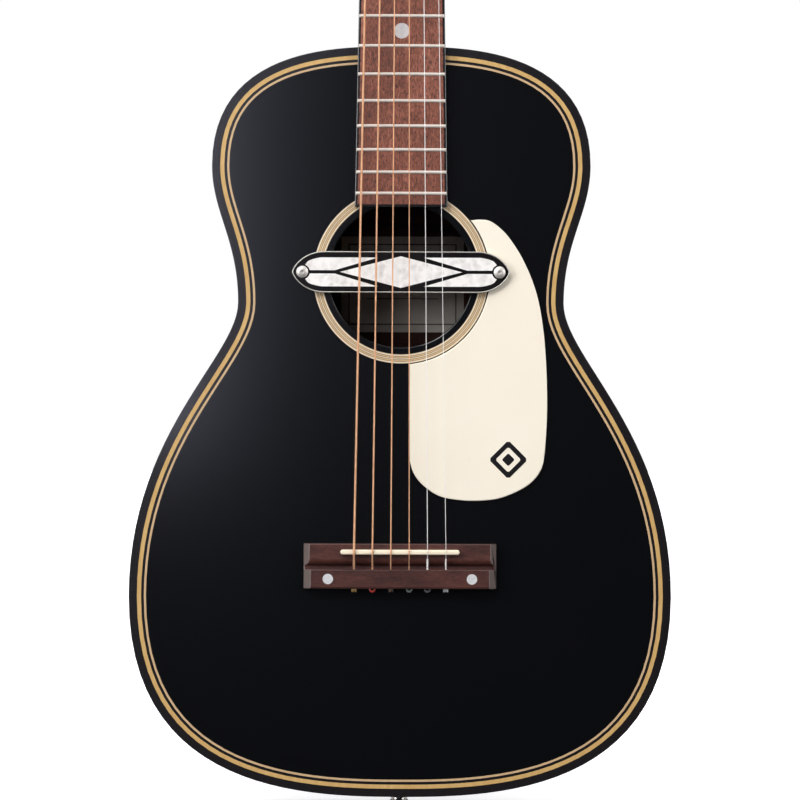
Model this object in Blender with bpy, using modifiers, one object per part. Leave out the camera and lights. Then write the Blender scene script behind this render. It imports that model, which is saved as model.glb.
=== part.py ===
"""Small-bodied twelve-fret acoustic guitar with a soundhole pickup and open-geared tuners.

Everything is drawn in the frame of a guitar lying on its back: x across, y up the neck from
the tail, z out of the soundboard, whose outer face is z = 0. One empty, "guitar", stands it
upright with its soundboard facing -Y. The headstock's pieces hang on a second, tilted empty.
Lengths are metres.
"""
from math import asin, cos, floor, pi, radians, sin, tan

import bmesh
import bpy
from mathutils import Matrix, Vector

# ---------------------------------------------------------------- driving dimensions
GAP = 0.0003                    # glue line or seat between two pieces
INLAY_GAP = 0.0001              # glue line beside an inlaid strip

SCALE_LENGTH = 0.610
COMPENSATION = 0.0016           # the saddle's setback past the true scale
FRET_COUNT = 18
BODY_JOINT_FRET = 12

BODY_LENGTH = 0.4555
LOWER_BOUT_WIDTH = 0.3292
LOWER_BOUT_Y = 0.1215
WAIST_WIDTH = 0.1976
WAIST_Y = 0.2999
UPPER_BOUT_WIDTH = 0.2298
UPPER_BOUT_Y = 0.3833
DEPTH_TAIL = 0.095
DEPTH_NECK = 0.082
# Pull of the outline's curve at each of its five stations, before and after it.
TAIL_PULL = 0.0557
LOWER_BOUT_PULL = (0.120, 0.0999)
WAIST_PULL = (0.0331, 0.0381)
UPPER_BOUT_PULL = (0.0287, 0.0756)
NECK_PULL = 0.030
OUTLINE_STEPS = (12, 8, 5, 8)   # straight pieces between one station and the next

TOP_THICK = 0.0028
BACK_THICK = 0.0028
SIDE_THICK = 0.0022
BINDING_WIDTH = 0.0049
BACK_BINDING_WIDTH = 0.0025
PURFLING_WIDTH = 0.0055
PURFLING_THICK = 0.0014
LINING_WIDTH = 0.006
LINING_HEIGHT = 0.014
BLOCK_HALF_WIDTH = 0.032
NECK_BLOCK_LENGTH = 0.045
TAIL_BLOCK_LENGTH = 0.018

SOUNDHOLE_RADIUS = 0.0436
SOUNDHOLE_Y = 0.3165
ROSETTE_MARGIN = 0.0041         # bare top between the soundhole and the rosette
ROSETTE_WIDTH = 0.0057
ROSETTE_THICK = 0.0011

BRACE_HEIGHT = 0.013
BRACE_WIDTH = 0.008
X_BRACE_Y = 0.250
X_BRACE_ANGLE = radians(47)     # each leg's lean from the centre line
X_BRACE_UPPER = 0.112
X_BRACE_LOWER = 0.196
BRIDGE_PLATE_LENGTH = 0.140
BRIDGE_PLATE_MARGIN = 0.003     # past the bridge's front and tail edges
BRIDGE_PLATE_THICK = 0.0025

BRIDGE_LENGTH = 0.1168
BRIDGE_DEPTH = 0.0273
BRIDGE_SADDLE_ZONE = 0.0118     # from the bridge's front edge to the start of the slope
BRIDGE_SLOPE = 0.0034
SADDLE_SHOW = 0.0041            # from the bridge's front land up to the strings
BRIDGE_VALLEY_HEIGHT = 0.0038
BRIDGE_BLOCK_HEIGHT = 0.0086
BRIDGE_END_CHAMFER = 0.0042
BRIDGE_END_HEIGHT = 0.0035
SADDLE_SETBACK = 0.0050         # saddle's centre line behind the bridge's front edge
SADDLE_LENGTH = 0.0722
SADDLE_THICK = 0.0030
SADDLE_SLOT_DEPTH = 0.004

STRING_RADII = (0.00067, 0.00053, 0.00041, 0.00030, 0.00021, 0.00017)
STRING_SPREAD_BRIDGE = 0.0556
STRING_SPREAD_NUT = 0.0355
STRING_HEIGHT_SADDLE = 0.0116   # underside of the strings over the soundboard
STRING_HEIGHT_NUT = 0.0080
BALL_RADIUS = 0.0020
BALL_LENGTH = 0.0034
BALL_SETBACK = 0.0003           # ball's axis behind the bridge's tail edge
BALL_HEIGHT = 0.0034            # its axis over the soundboard

BOARD_THICK = 0.0062
BOARD_CAMBER_RADIUS = 0.305
BOARD_END_Y = 0.3580
BOARD_WIDTH_NUT = 0.0429
BOARD_WIDTH_JOINT = 0.0530
BOARD_BINDING = 0.0015
FRET_WIDTH = 0.0022
FRET_HEIGHT = 0.0010
NUT_THICK = 0.005
NUT_HEIGHT = 0.0088

SHAFT_DEPTH_NUT = 0.0145
SHAFT_DEPTH_JOINT = 0.0175
HEEL_LENGTH_TOP = 0.070
HEEL_LENGTH_CAP = 0.021
HEEL_HALF_WIDTH_CAP = 0.0125
HEEL_CAP_THICK = 0.003
TRUSS_ROD_WIDTH = 0.006
TRUSS_ROD_HEIGHT = 0.009

HEAD_TILT = radians(13)
HEAD_THICK = 0.014
HEAD_LENGTH = 0.168
HEAD_HALF_WIDTH_LOW = 0.033
HEAD_HALF_WIDTH_HIGH = 0.036
HEADPLATE_THICK = 0.0015

POST_X = 0.0215
POST_FIRST_Y = 0.042
POST_SPACING = 0.038
POST_RADIUS = 0.003
POST_WAIST_RADIUS = 0.0026
POST_RISE = 0.0165              # above the headplate
TUNER_PLATE_THICK = 0.0010
TUNER_PLATE_WIDTH = 0.0164
TAB_THICK = 0.0012
TAB_WIDTH = 0.008
GEAR_TEETH = 14
GEAR_MODULE = 0.0009
GEAR_TIP_RADIUS = 0.0070
GEAR_ROOT_RADIUS = 0.0055
GEAR_THICK = 0.004
WORM_CORE_RADIUS = 0.0022
WORM_CREST_RADIUS = 0.0036
WORM_PITCHES = 3
WORM_STEPS = 8                  # points round the worm, and rings to each turn of its thread
SHAFT_RADIUS = 0.0020
RUNNING_CLEARANCE = 0.0003
BUTTON_HALF_HEIGHT = 0.0095
BUTTON_HALF_THICK = 0.0040
BUTTON_LENGTH = 0.0158

PICKUP_Y = 0.3185
PICKUP_LENGTH = 0.1320
PICKUP_WIDTH = 0.0250
PICKUP_STRAIGHT = 0.0916        # length of the cover's straight edges
PICKUP_COVER_THICK = 0.0025
PICKUP_COVER_RISE = 0.0022      # the cover's underside over the soundboard
PICKUP_BOX_LENGTH = 0.074
PICKUP_BOX_WIDTH = 0.016
PICKUP_BOX_DEPTH = 0.014
PICKUP_FOOT_REACH = 0.0074      # how far each foot runs under the top past the soundhole
PICKUP_FOOT_WIDTH = 0.010
PICKUP_FOOT_THICK = 0.0025
PICKUP_SCREW_X = 0.0598
PICKUP_SCREW_RADIUS = 0.0037

PICKGUARD_THICK = 0.0012
GUARD_GAP = 0.0006              # between the rosette and the guard's hollow edge
GUARD_HORN_Y = 0.0336           # the horn's tip above the hole's centre
GUARD_SHOULDER = 0.0057         # from the horn's tip out to the first point of the free edge
GUARD_LEFT_X = 0.0056
GUARD_BRIDGE_GAP = 0.0261       # from the bridge's front edge up to the guard's lowest point
GUARD_EDGE = (                  # the free edge, from the horn round to the left, from the hole's centre
    (0.0480, 0.0341), (0.0540, 0.0332), (0.0602, 0.0289), (0.0655, 0.0233), (0.0722, 0.0133),
    (0.0782, 0.0011), (0.0826, -0.0115), (0.0856, -0.0260), (0.0877, -0.0438), (0.0889, -0.0678),
    (0.0889, -0.0858), (0.0879, -0.1038), (0.0861, -0.1158), (0.0807, -0.1242), (0.0722, -0.1302),
    (0.0602, -0.1350), (0.0480, -0.1365), (0.0360, -0.1362), (0.0240, -0.1338), (0.0145, -0.1278),
    (0.0085, -0.1206), (0.0058, -0.1122),
)

PIN_RADIUS = 0.0050
PIN_HEAD_RADIUS = 0.0078
PIN_RISE = 0.0105               # how far the end pin stands out of the tail
JACK_RADIUS = 0.0032

# ---------------------------------------------------------------- sizes that follow
NUT_Y = BODY_LENGTH + SCALE_LENGTH * 2 ** (-BODY_JOINT_FRET / 12)
SADDLE_Y = NUT_Y - SCALE_LENGTH - COMPENSATION
HEAD_Y = NUT_Y + NUT_THICK
BRIDGE_FRONT_Y = SADDLE_Y + SADDLE_SETBACK
BRIDGE_TAIL_Y = BRIDGE_FRONT_Y - BRIDGE_DEPTH
BACK_TAPER = (DEPTH_TAIL - DEPTH_NECK) / BODY_LENGTH
ROSETTE_INNER = SOUNDHOLE_RADIUS + ROSETTE_MARGIN
PICKUP_FOOT_LENGTH = 2 * (SOUNDHOLE_RADIUS + PICKUP_FOOT_REACH)
PURFLING_INSET = BINDING_WIDTH + INLAY_GAP
TOP_INSET = PURFLING_INSET + PURFLING_WIDTH + INLAY_GAP
LINING_INSET = SIDE_THICK + GAP
INNER_TOP_Z = -TOP_THICK - GAP
INNER_BACK_Z = -DEPTH_TAIL + BACK_THICK + GAP
WORM_PITCH = pi * GEAR_MODULE
GEAR_PITCH_RADIUS = GEAR_MODULE * GEAR_TEETH / 2
WORM_OFFSET = GEAR_TIP_RADIUS + WORM_CORE_RADIUS + RUNNING_CLEARANCE
TUNER_PLATE_Z = -HEAD_THICK - GAP
WORM_Z = TUNER_PLATE_Z - TUNER_PLATE_THICK - WORM_CREST_RADIUS - RUNNING_CLEARANCE
TAB_X = WORM_PITCHES * WORM_PITCH / 2 + 0.003
PIN_Z = -DEPTH_TAIL / 2
FRONT_RISE = STRING_HEIGHT_SADDLE + 2 * STRING_RADII[0]
BRIDGE_FRONT_HEIGHT = STRING_HEIGHT_SADDLE - SADDLE_SHOW
BOARD_Z = GAP

# ---------------------------------------------------------------- scene and materials
for old in list(bpy.data.objects):
    bpy.data.objects.remove(old)
for old in list(bpy.data.collections):
    bpy.data.collections.remove(old)
parts = bpy.data.collections.new("acoustic_guitar")
cutters = bpy.data.collections.new("cutters")
bpy.context.scene.collection.children.link(parts)
bpy.context.scene.collection.children.link(cutters)


def empty(name, location, rotation, parent=None):
    """An empty that places the pieces parented to it."""
    made = bpy.data.objects.new(name, None)
    made.location = location
    made.rotation_euler = rotation
    made.parent = parent
    parts.objects.link(made)
    return made


# The box's bottom centre is the origin: the end pin touches z = 0, and y is centred on the depth.
guitar = empty("guitar", (0, (FRONT_RISE - DEPTH_TAIL) / 2, PIN_RISE), (pi / 2, 0, 0))
head = empty("headstock_frame", (0, HEAD_Y, 0), (-HEAD_TILT, 0, 0), guitar)


def material(name, colour, roughness, metallic=0.0):
    """A Principled material with one colour."""
    made = bpy.data.materials.new(name)
    made.use_nodes = True
    shader = made.node_tree.nodes["Principled BSDF"]
    shader.inputs["Base Color"].default_value = (*colour, 1)
    shader.inputs["Roughness"].default_value = roughness
    shader.inputs["Metallic"].default_value = metallic
    return made


BLACK_LACQUER = material("black_lacquer", (0.010, 0.011, 0.014), 0.28)
BINDING_BLACK = material("binding_black", (0.022, 0.020, 0.020), 0.32)
PURFLING_CREAM = material("purfling_cream", (0.48, 0.33, 0.13), 0.4)
ROSETTE_MAPLE = material("rosette_maple", (0.62, 0.48, 0.30), 0.4)
INNER_WOOD = material("inner_wood", (0.20, 0.08, 0.035), 0.7)
SPRUCE = material("spruce", (0.52, 0.36, 0.19), 0.7)
WALNUT = material("walnut", (0.21, 0.085, 0.062), 0.55)
BRIDGE_WALNUT = material("bridge_walnut", (0.085, 0.033, 0.024), 0.5)
BONE = material("bone", (0.88, 0.76, 0.58), 0.35)
IVORY_PLASTIC = material("ivory_plastic", (0.90, 0.84, 0.72), 0.35)
BLACK_PLASTIC = material("black_plastic", (0.012, 0.011, 0.011), 0.3)
NICKEL = material("nickel", (0.62, 0.60, 0.56), 0.25, 1.0)
BRONZE = material("bronze_wire", (0.72, 0.38, 0.22), 0.35, 1.0)
STEEL = material("steel_wire", (0.70, 0.70, 0.70), 0.25, 1.0)


# ---------------------------------------------------------------- modelling helpers
def place(name, mesh, finish=None, parent=guitar, location=(0, 0, 0), rotation=(0, 0, 0)):
    """Makes an object of a mesh and hangs it on the guitar, or on the headstock."""
    made = bpy.data.objects.new(name, mesh)
    made.parent = parent
    made.location = location
    made.rotation_euler = rotation
    if finish:
        mesh.materials.append(finish)
    parts.objects.link(made)
    return made


def as_cutter(piece):
    """Turns a piece into a tool for a Boolean, which is not part of the guitar."""
    parts.objects.unlink(piece)
    cutters.objects.link(piece)
    piece.hide_render = True
    piece.display_type = "WIRE"
    return piece


def boolean(piece, tool, operation="DIFFERENCE"):
    """Adds a Boolean to piece with tool as its cutter, or as what is joined to it."""
    step = piece.modifiers.new(operation.lower(), "BOOLEAN")
    step.operation = operation
    step.solver = "EXACT"
    step.object = as_cutter(tool) if tool.name in parts.objects else tool


def mesh_of_curve(curve):
    """The mesh that a curve evaluates to, with its caps welded on."""
    holder = bpy.data.objects.new(curve.name, curve)
    parts.objects.link(holder)
    graph = bpy.context.evaluated_depsgraph_get()
    mesh = bpy.data.meshes.new_from_object(holder.evaluated_get(graph))
    bpy.data.objects.remove(holder)
    work = bmesh.new()
    work.from_mesh(mesh)
    bmesh.ops.remove_doubles(work, verts=work.verts, dist=1e-6)
    bmesh.ops.recalc_face_normals(work, faces=work.faces)
    work.to_mesh(mesh)
    work.free()
    return mesh


def prism(name, loops, low, high):
    """Mesh of a flat outline in x and y, with further loops as holes, from z = low to z = high."""
    curve = bpy.data.curves.new(name, "CURVE")
    curve.dimensions = "2D"
    curve.fill_mode = "BOTH"
    curve.extrude = (high - low) / 2
    for loop in loops:
        spline = curve.splines.new("POLY")
        spline.points.add(len(loop) - 1)
        spline.use_cyclic_u = True
        for point, (x, y) in zip(spline.points, loop):
            point.co = (x, y, 0, 1)
    mesh = mesh_of_curve(curve)
    mesh.transform(Matrix.Translation((0, 0, (low + high) / 2)))
    return mesh


def cross_prism(name, loop, low, high):
    """Mesh of a side profile in y and z, from x = low to x = high."""
    mesh = prism(name, [loop], low, high)
    mesh.transform(Matrix(((0, 0, 1, 0), (1, 0, 0, 0), (0, 1, 0, 0), (0, 0, 0, 1))))
    return mesh


def box(name, low, high):
    """Mesh of a block between two corners."""
    low, high = Vector(low), Vector(high)
    work = bmesh.new()
    size = Matrix.Diagonal((*(high - low), 1))
    bmesh.ops.create_cube(work, size=1, matrix=Matrix.Translation((low + high) / 2) @ size)
    return finished(name, work)


def finished(name, work):
    """The mesh of a bmesh, with its faces pointing out."""
    bmesh.ops.recalc_face_normals(work, faces=work.faces)
    mesh = bpy.data.meshes.new(name)
    work.to_mesh(mesh)
    work.free()
    return mesh


def rods(name, ends, sides=12):
    """Mesh of separate round rods. Each of ends is a start, an end and a radius."""
    work = bmesh.new()
    for start, end, radius in ends:
        along = Vector(end) - Vector(start)
        turn = along.to_track_quat("Z", "Y").to_matrix().to_4x4()
        middle = Matrix.Translation((Vector(start) + Vector(end)) / 2)
        bmesh.ops.create_cone(
            work, cap_ends=True, segments=sides, radius1=radius, radius2=radius,
            depth=along.length, matrix=middle @ turn,
        )
    return finished(name, work)


def loft(name, rings):
    """Mesh of a skin over rings that have the same number of points, closed by its two ends."""
    work = bmesh.new()
    rows = [[work.verts.new(point) for point in ring] for ring in rings]
    count = len(rows[0])
    for lower, upper in zip(rows, rows[1:]):
        for k in range(count):
            after = (k + 1) % count
            work.faces.new((lower[k], lower[after], upper[after], upper[k]))
    work.faces.new(reversed(rows[0]))
    work.faces.new(rows[-1])
    return finished(name, work)


def turned(name, profile, finish, parent=guitar, location=(0, 0, 0), rotation=(0, 0, 0), steps=16):
    """A piece turned about its own z. The profile is radius and height, top to bottom."""
    work = bmesh.new()
    points = [work.verts.new((radius, 0, height)) for radius, height in profile]
    for first, second in zip(points, points[1:]):
        work.edges.new((first, second))
    mesh = bpy.data.meshes.new(name)
    work.to_mesh(mesh)
    work.free()
    made = place(name, mesh, finish, parent, location, rotation)
    screw = made.modifiers.new("turn", "SCREW")
    screw.steps = screw.render_steps = steps
    screw.use_merge_vertices = True
    screw.merge_threshold = 1e-5
    screw.use_smooth_shade = False
    return made


# ---------------------------------------------------------------- the body's outline
def outline_segments():
    """The right half of the outline as four cubic curves, from the tail to the neck."""
    lower, waist, upper = LOWER_BOUT_WIDTH / 2, WAIST_WIDTH / 2, UPPER_BOUT_WIDTH / 2
    return (
        ((0, 0), (TAIL_PULL, 0), (lower, LOWER_BOUT_Y - LOWER_BOUT_PULL[0]), (lower, LOWER_BOUT_Y)),
        ((lower, LOWER_BOUT_Y), (lower, LOWER_BOUT_Y + LOWER_BOUT_PULL[1]),
         (waist, WAIST_Y - WAIST_PULL[0]), (waist, WAIST_Y)),
        ((waist, WAIST_Y), (waist, WAIST_Y + WAIST_PULL[1]),
         (upper, UPPER_BOUT_Y - UPPER_BOUT_PULL[0]), (upper, UPPER_BOUT_Y)),
        ((upper, UPPER_BOUT_Y), (upper, UPPER_BOUT_Y + UPPER_BOUT_PULL[1]),
         (NECK_PULL, BODY_LENGTH), (0, BODY_LENGTH)),
    )


def half_outline(inset):
    """The right half of the outline moved in by inset, as points from the tail to the neck."""
    points = []
    for segment, steps in zip(outline_segments(), OUTLINE_STEPS):
        a, b, c, d = (Vector(p) for p in segment)
        for k in range(steps):
            t = k / steps
            here = (1 - t) ** 3 * a + 3 * (1 - t) ** 2 * t * b + 3 * (1 - t) * t ** 2 * c + t ** 3 * d
            way = (1 - t) ** 2 * (b - a) + 2 * (1 - t) * t * (c - b) + t ** 2 * (d - c)
            inward = Vector((-way.y, way.x)).normalized()
            points.append(here + inward * inset)
    points.append(Vector((0, BODY_LENGTH - inset)))
    points[0].x = 0
    return [tuple(p) for p in points]


def mirrored(half):
    """A closed outline from its right half. Points on the centre line are used once."""
    return half + [(-x, y) for x, y in reversed(half) if x > 0]


def whole_outline(inset):
    return mirrored(half_outline(inset))


def slope_back(mesh, only_below=None):
    """Lifts the back of a piece with the body's taper: shallower towards the neck."""
    for vertex in mesh.vertices:
        if only_below is None or vertex.co.z < only_below:
            vertex.co.z += BACK_TAPER * vertex.co.y
    return mesh


def ring_of(radius, centre, sides):
    """Points of a circle in x and y."""
    return [
        (centre[0] + radius * cos(2 * pi * k / sides), centre[1] + radius * sin(2 * pi * k / sides))
        for k in range(sides)
    ]


# ---------------------------------------------------------------- soundboard and its trim
def make_soundboard():
    """The top as one stepped skin: purfling rabbet, rosette channel and soundhole."""
    centre = (0, SOUNDHOLE_Y)
    ledge, channel = -PURFLING_THICK - INLAY_GAP, -ROSETTE_THICK - INLAY_GAP
    wide, narrow = whole_outline(PURFLING_INSET), whole_outline(TOP_INSET)
    outer = ring_of(ROSETTE_INNER + ROSETTE_WIDTH + INLAY_GAP, centre, 48)
    inner = ring_of(ROSETTE_INNER - INLAY_GAP, centre, 48)
    hole = ring_of(SOUNDHOLE_RADIUS, centre, 48)
    work = bmesh.new()
    rim = ((wide, -TOP_THICK), (wide, ledge), (narrow, ledge), (narrow, 0))
    well = ((outer, 0), (outer, channel), (inner, channel), (inner, 0), (hole, 0), (hole, -TOP_THICK))
    ends = []
    for levels in (rim, well):
        rows = [[work.verts.new((x, y, z)) for x, y in loop] for loop, z in levels]
        for lower, upper in zip(rows, rows[1:]):
            for k in range(len(lower)):
                after = (k + 1) % len(lower)
                work.faces.new((lower[k], lower[after], upper[after], upper[k]))
        ends.append((rows[0], rows[-1]))
    (under, over), (well_over, well_under) = ends
    for loops in ((under, well_under), (over, well_over)):
        edges = [work.edges.get((loop[k - 1], loop[k])) for loop in loops for k in range(len(loop))]
        bmesh.ops.triangle_fill(work, use_beauty=True, edges=edges)
    place("soundboard", finished("soundboard", work), BLACK_LACQUER)


def make_edge_trim():
    """Bindings round both edges, the purfling inlay, and the rosette."""
    top = prism("binding_top", [whole_outline(0), whole_outline(BINDING_WIDTH)], -TOP_THICK, 0)
    place("binding_top", top, BINDING_BLACK)
    back = prism(
        "binding_back", [whole_outline(0), whole_outline(BACK_BINDING_WIDTH)],
        -DEPTH_TAIL, -DEPTH_TAIL + BACK_THICK,
    )
    place("binding_back", slope_back(back), BINDING_BLACK)
    strip = prism(
        "purfling", [whole_outline(PURFLING_INSET), whole_outline(PURFLING_INSET + PURFLING_WIDTH)],
        -PURFLING_THICK, 0,
    )
    place("purfling", strip, PURFLING_CREAM)
    centre = (0, SOUNDHOLE_Y)
    rings = prism(
        "rosette",
        [ring_of(ROSETTE_INNER + ROSETTE_WIDTH, centre, 48), ring_of(ROSETTE_INNER, centre, 48)],
        -ROSETTE_THICK, 0,
    )
    place("rosette", rings, ROSETTE_MAPLE)


# ---------------------------------------------------------------- back, sides, blocks, linings
def make_back():
    low = -DEPTH_TAIL
    plate = prism("back", [whole_outline(BACK_BINDING_WIDTH + INLAY_GAP)], low, low + BACK_THICK)
    place("back", slope_back(plate), BLACK_LACQUER)


def end_pin_hole():
    """The cutter for the end pin, through the sides and the tail block."""
    reach = (0, -0.01, PIN_Z), (0, TAIL_BLOCK_LENGTH + 0.02, PIN_Z)
    hole = rods("end_pin_hole", [(*reach, PIN_RADIUS + GAP)], sides=16)
    return as_cutter(place("end_pin_hole", hole))


def make_sides(pin_hole):
    """The bass and treble ribs, which meet on the centre line at the tail and the neck."""
    outer, inner = half_outline(0), half_outline(SIDE_THICK)
    for name, hand in (("side_treble", 1), ("side_bass", -1)):
        loop = [(hand * max(x, GAP / 2), y) for x, y in outer + inner[::-1]]
        rib = prism(name, [loop], -DEPTH_TAIL + BACK_THICK + GAP, INNER_TOP_Z)
        side = place(name, slope_back(rib, only_below=-DEPTH_TAIL / 2), BLACK_LACQUER)
        boolean(side, pin_hole)


def lining_loops(clearance=0.0):
    """The two outlines of a kerfed lining, or of the space it needs."""
    outer = whole_outline(LINING_INSET - clearance)
    return [outer, whole_outline(LINING_INSET + LINING_WIDTH + clearance)]


def make_linings():
    top = prism("lining_top", lining_loops(), INNER_TOP_Z - LINING_HEIGHT, INNER_TOP_Z)
    place("lining_top", top, INNER_WOOD)
    back = prism("lining_back", lining_loops(), INNER_BACK_Z, INNER_BACK_Z + LINING_HEIGHT)
    place("lining_back", slope_back(back), INNER_WOOD)


def block_loop(end_y, length):
    """A block's outline: the curve of the sides' inner face across it, and a straight inner edge."""
    near = [p for p in half_outline(LINING_INSET) if abs(p[1] - end_y) < length and p[0] < BLOCK_HALF_WIDTH]
    near.sort()
    inner_y = end_y + length if end_y < length else end_y - length
    edge = (BLOCK_HALF_WIDTH, near[-1][1] + (0.001 if end_y < length else -0.001))
    right = [*near, edge, (BLOCK_HALF_WIDTH, inner_y)]
    return right + [(-x, y) for x, y in reversed(right) if x > 0]


def make_blocks(pin_hole):
    """Neck and tail blocks, rebated where the linings run past them."""
    for name, end_y, length in (
        ("tail_block", 0, TAIL_BLOCK_LENGTH),
        ("neck_block", BODY_LENGTH, NECK_BLOCK_LENGTH),
    ):
        mesh = prism(name, [block_loop(end_y, length)], INNER_BACK_Z, INNER_TOP_Z)
        block = place(name, slope_back(mesh, only_below=-DEPTH_TAIL / 2), INNER_WOOD)
        top = prism("top_rebate", lining_loops(GAP), INNER_TOP_Z - LINING_HEIGHT - GAP, 0)
        boolean(block, place(name + "_top_rebate", top))
        back = prism("back_rebate", lining_loops(GAP), -DEPTH_TAIL, INNER_BACK_Z + LINING_HEIGHT + GAP)
        boolean(block, place(name + "_back_rebate", slope_back(back)))
        if end_y == 0:
            boolean(block, pin_hole)


def make_end_pin():
    """The strap pin that is also the pickup's output jack, with its socket open at the end."""
    inside = TAIL_BLOCK_LENGTH + 0.004
    profile = [
        (JACK_RADIUS, PIN_RISE), (PIN_HEAD_RADIUS - 0.001, PIN_RISE), (PIN_HEAD_RADIUS, PIN_RISE - 0.001),
        (PIN_HEAD_RADIUS, PIN_RISE - 0.0025), (PIN_RADIUS, PIN_RISE - 0.0045), (PIN_RADIUS, 0.0016),
        (PIN_HEAD_RADIUS, 0.0014), (PIN_HEAD_RADIUS, GAP), (PIN_RADIUS, GAP), (PIN_RADIUS, -inside),
        (0, -inside), (0, -inside + 0.004), (JACK_RADIUS, -inside + 0.004), (JACK_RADIUS, PIN_RISE),
    ]
    turned("end_pin_jack", profile, NICKEL, location=(0, 0, PIN_Z), rotation=(pi / 2, 0, 0))


# ---------------------------------------------------------------- braces
def brace_profile(length, height):
    """Side profile of a brace, with both ends scooped down to a third of its height."""
    half, scoop, tip = length / 2, min(0.035, length / 4), height / 3
    return [
        (-half, 0), (-half, -tip), (-half + scoop * 0.6, -height * 0.7), (-half + scoop, -height),
        (half - scoop, -height), (half - scoop * 0.6, -height * 0.7), (half, -tip), (half, 0),
    ]


def brace(name, centre, angle, length, height=BRACE_HEIGHT, width=BRACE_WIDTH, finish=SPRUCE):
    """A brace on the soundboard's inner face, running at angle from the y axis."""
    mesh = cross_prism(name, brace_profile(length, height), -width / 2, width / 2)
    return place(name, mesh, finish, location=(*centre, INNER_TOP_Z), rotation=(0, 0, -angle))


def make_top_braces():
    """The X, half-lapped where its bars cross, two tone bars and the upper transverse brace."""
    shift = (X_BRACE_LOWER - X_BRACE_UPPER) / 2
    length = X_BRACE_LOWER + X_BRACE_UPPER
    lap = BRACE_WIDTH / 2 + GAP / 2
    for name, hand, low, high in (
        ("x_brace_bass", -1, -BRACE_HEIGHT - 0.001, -BRACE_HEIGHT / 2 + GAP / 2),
        ("x_brace_treble", 1, -BRACE_HEIGHT / 2 - GAP / 2, 0.001),
    ):
        angle = hand * X_BRACE_ANGLE
        centre = (-shift * sin(angle), X_BRACE_Y - shift * cos(angle))
        bar = brace(name, centre, angle, length)
        notch = box(name + "_lap", (-lap, -BRACE_WIDTH, low), (lap, BRACE_WIDTH, high))
        cutter = place(name + "_lap", notch, location=(0, X_BRACE_Y, INNER_TOP_Z), rotation=(0, 0, angle))
        boolean(bar, cutter)
    brace("tone_bar_upper", (0.012, 0.100), radians(78), 0.150, height=0.010)
    brace("tone_bar_lower", (0.010, 0.056), radians(80), 0.130, height=0.008)
    brace("transverse_brace", (0, 0.374), pi / 2, 0.196, width=0.010)


def make_bridge_plate():
    """The hardwood patch under the bridge, kept clear of the X's legs."""
    front, tail = BRIDGE_FRONT_Y + BRIDGE_PLATE_MARGIN, BRIDGE_TAIL_Y - BRIDGE_PLATE_MARGIN
    beside = (BRACE_WIDTH / 2 + GAP) / cos(X_BRACE_ANGLE)
    front_half, tail_half = [
        min(BRIDGE_PLATE_LENGTH / 2, (X_BRACE_Y - y) * tan(X_BRACE_ANGLE) - beside) for y in (front, tail)]
    corners = [(-tail_half, tail), (tail_half, tail), (front_half, front), (-front_half, front)]
    plate = prism("bridge_plate", [corners], INNER_TOP_Z - BRIDGE_PLATE_THICK, INNER_TOP_Z)
    place("bridge_plate", plate, INNER_WOOD)


def make_back_braces():
    """Four ladder braces across the back, each between the linings."""
    inner = half_outline(LINING_INSET + LINING_WIDTH + 0.004)
    for index, y in enumerate((0.070, 0.165, 0.262, 0.372), 1):
        half = min(x for x, along in inner if abs(along - y) < 0.024)
        profile = [(along, -depth) for along, depth in brace_profile(2 * half, 0.011)]
        mesh = cross_prism("back_brace", profile, -0.004, 0.004)
        mesh.transform(Matrix.Rotation(pi / 2, 4, "Z"))
        mesh.transform(Matrix.Translation((0, y, INNER_BACK_Z)))
        place(f"back_brace_{index}", slope_back(mesh), SPRUCE)


# ---------------------------------------------------------------- strings, and what they bear on
def string_x(index, y):
    """Where a string lies across the guitar. Index 0 is the lowest string, on the bass side."""
    along = (y - SADDLE_Y) / (NUT_Y - SADDLE_Y)
    spread = STRING_SPREAD_BRIDGE + (STRING_SPREAD_NUT - STRING_SPREAD_BRIDGE) * along
    return spread * (index / 5 - 0.5)


def string_z(index, y):
    """Height of a string's centre line between the saddle and the nut."""
    along = (y - SADDLE_Y) / (NUT_Y - SADDLE_Y)
    bottom = STRING_HEIGHT_SADDLE + (STRING_HEIGHT_NUT - STRING_HEIGHT_SADDLE) * along
    return bottom + STRING_RADII[index]


def bridge_profile():
    """Side profile of the bridge: saddle zone, slope, valley and anchor block."""
    front, tail, low = BRIDGE_FRONT_Y, BRIDGE_TAIL_Y, GAP
    slope_top = front - BRIDGE_SADDLE_ZONE
    valley = slope_top - BRIDGE_SLOPE
    block = valley - 0.0006
    return [
        (tail, low), (front, low), (front, BRIDGE_FRONT_HEIGHT - 0.001),
        (front - 0.001, BRIDGE_FRONT_HEIGHT), (slope_top, BRIDGE_FRONT_HEIGHT),
        (valley, BRIDGE_VALLEY_HEIGHT), (block, BRIDGE_VALLEY_HEIGHT), (block, BRIDGE_BLOCK_HEIGHT),
        (tail + 0.001, BRIDGE_BLOCK_HEIGHT), (tail, BRIDGE_BLOCK_HEIGHT - 0.001),
    ]


def string_at_bridge(index):
    """A string's way from its ball end, up through the anchor block, to the saddle."""
    x = string_x(index, SADDLE_Y)
    block = BRIDGE_FRONT_Y - BRIDGE_SADDLE_ZONE - BRIDGE_SLOPE - 0.0006
    return [
        Vector((x, BRIDGE_TAIL_Y - BALL_SETBACK, BALL_HEIGHT)), Vector((x, BRIDGE_TAIL_Y + 0.0030, 0.0040)),
        Vector((x, block, 0.0062)),
        Vector((x, SADDLE_Y - SADDLE_THICK / 2, string_z(index, SADDLE_Y))),
    ]


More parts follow.
